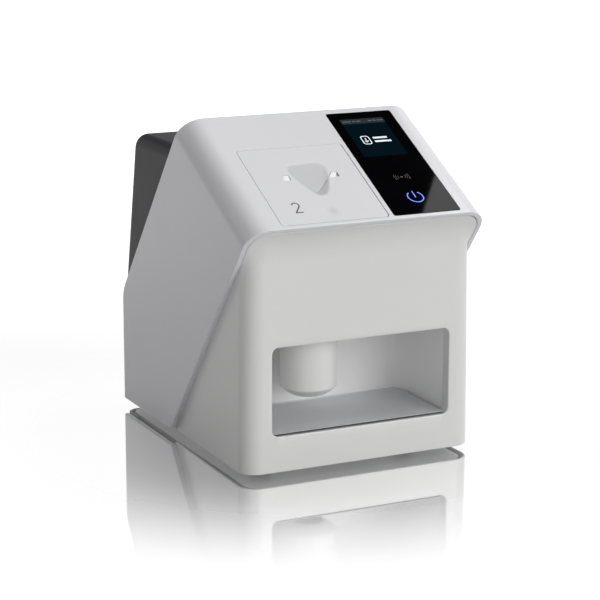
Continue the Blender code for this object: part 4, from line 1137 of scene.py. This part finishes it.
def seen_rays(nodes, links):
    """1 for rays from the camera, straight, off a gloss or through a glass, and 0 for all others."""
    path = nodes.new("ShaderNodeLightPath")
    total = path.outputs["Is Camera Ray"]
    for name in ("Is Glossy Ray", "Is Transmission Ray"):
        node = nodes.new("ShaderNodeMath")
        node.operation = "MAXIMUM"
        links.new(total, node.inputs[0])
        links.new(path.outputs[name], node.inputs[1])
        total = node.outputs[0]
    return total


def make_world():
    world = bpy.data.worlds.new("studio")
    bpy.context.scene.world = world
    world.use_nodes = True
    nodes, links = world.node_tree.nodes, world.node_tree.links
    background = nodes["Background"]
    background.inputs["Color"].default_value = (1, 1, 1, 1)
    level = nodes.new("ShaderNodeMapRange")
    level.inputs["To Min"].default_value = WORLD_LIGHT
    level.inputs["To Max"].default_value = 1.0
    links.new(seen_rays(nodes, links), level.inputs["Value"])
    links.new(level.outputs["Result"], background.inputs["Strength"])


def make_suns():
    for name, source, strength, softness in SUNS:
        data = bpy.data.lights.new(name, "SUN")
        data.energy = strength
        data.angle = softness
        sun = bpy.data.objects.new(name, data)
        sun.rotation_mode = "QUATERNION"
        sun.rotation_quaternion = Vector(source).to_track_quat("Z", "Y")
        sun.location = Vector(source) * SUN_DISTANCE
        bpy.context.scene.collection.objects.link(sun)


def mirrored(x, v):
    """Where a line of sight that meets the top at x and v lands on the card's plane, once mirrored."""
    point = TOP @ Vector((x, v, 0))
    normal = (TOP.to_3x3() @ Vector((0, 0, 1))).normalized()
    ray = (point - CAMERA_PLACE).normalized()
    ray -= 2 * ray.dot(normal) * normal
    landed = point + ray * (CARD_HEIGHT - point.z) / ray.z
    return Vector((landed.x, landed.y))


def make_card():
    """The card covers all that the glass mirrors, up to a straight edge across its lower right."""
    first, second = (mirrored(x, v) for x, v in CARD_EDGE)
    middle = mirrored((GLASS_LEFT + GLASS_RIGHT) / 2, (GLASS_LOW + GLASS_HIGH) / 2)
    along = (second - first).normalized()
    across = Vector((-along.y, along.x))
    if across.dot(middle - first) < 0:
        across.negate()
    corners = [
        first - along * CARD_REACH, first + along * CARD_REACH,
        first + along * CARD_REACH + across * CARD_REACH, first - along * CARD_REACH + across * CARD_REACH,
    ]
    bm = bmesh.new()
    bm.faces.new([bm.verts.new((p.x, p.y, CARD_HEIGHT)) for p in corners])
    card = add("dark_card", bm, Matrix.Identity(4), closed=False)
    card.data.materials.append(finish("card_cloth", (0.002, 0.002, 0.002), 0.9, specular=0.0))
    card.visible_camera = False
    card.visible_diffuse = False
    card.visible_transmission = False
    card.visible_shadow = False


def make_floor():
    """A white gloss table that mirrors the object near its foot, and fades to plain white further out."""
    bm = grid(spread(-FLOOR_HALF, FLOOR_HALF, 2), spread(-FLOOR_HALF, FLOOR_HALF, 2), lambda x, y: (x, y, 0))
    floor = add("floor", bm, Matrix.Identity(4), closed=False)
    material = bpy.data.materials.new("table_top")
    material.use_nodes = True
    nodes, links = material.node_tree.nodes, material.node_tree.links
    output = nodes["Material Output"]
    nodes.remove(nodes["Principled BSDF"])

    place = nodes.new("ShaderNodeTexCoord")
    length = nodes.new("ShaderNodeVectorMath")
    length.operation = "LENGTH"
    links.new(place.outputs["Object"], length.inputs[0])

    def ramp(start, end, low, high, source=length.outputs["Value"]):
        node = nodes.new("ShaderNodeMapRange")
        node.interpolation_type = "SMOOTHSTEP"
        for name, value in (("From Min", start), ("From Max", end), ("To Min", low), ("To Max", high)):
            node.inputs[name].default_value = value
        links.new(source, node.inputs["Value"])
        return node.outputs["Result"]

    diffuse = nodes.new("ShaderNodeBsdfDiffuse")
    diffuse.inputs["Color"].default_value = (*[FLOOR_ALBEDO] * 3, 1)
    glow = nodes.new("ShaderNodeEmission")
    seen = nodes.new("ShaderNodeMath")
    seen.operation = "MULTIPLY"
    links.new(seen_rays(nodes, links), seen.inputs[0])
    links.new(ramp(*GLOW_FADE, FLOOR_GLOW, 1.0), seen.inputs[1])
    links.new(seen.outputs[0], glow.inputs["Strength"])
    lit = nodes.new("ShaderNodeAddShader")
    links.new(diffuse.outputs[0], lit.inputs[0])
    links.new(glow.outputs[0], lit.inputs[1])
    mirror = nodes.new("ShaderNodeBsdfGlossy")
    mirror.inputs["Roughness"].default_value = MIRROR_ROUGHNESS
    mirror.inputs["Color"].default_value = (1, 1, 1, 1)
    mix = nodes.new("ShaderNodeMixShader")
    path = nodes.new("ShaderNodeLightPath")
    share = nodes.new("ShaderNodeMath")
    share.operation = "MULTIPLY"
    links.new(path.outputs["Is Camera Ray"], share.inputs[0])
    links.new(ramp(*MIRROR_FADE, MIRROR_SHARE, 0.0), share.inputs[1])
    # A polished floor reflects less when it is looked at steeply.
    slant = nodes.new("ShaderNodeLayerWeight")
    slanted = nodes.new("ShaderNodeMath")
    slanted.operation = "MULTIPLY"
    links.new(share.outputs[0], slanted.inputs[0])
    links.new(ramp(*MIRROR_SLANT, 0.0, 1.0, slant.outputs["Facing"]), slanted.inputs[1])
    links.new(slanted.outputs[0], mix.inputs["Fac"])
    links.new(lit.outputs[0], mix.inputs[1])
    links.new(mirror.outputs[0], mix.inputs[2])
    links.new(mix.outputs[0], output.inputs["Surface"])
    floor.data.materials.append(material)


def main():
    bpy.context.scene.view_settings.view_transform = "Standard"
    make_camera()
    make_world()
    make_suns()
    make_card()
    make_floor()
    dress_frame()
    make_hood()
    make_panel()
    make_rear_housing()
    make_cover()
    make_glass()
    make_bay()
    make_chute()


main()
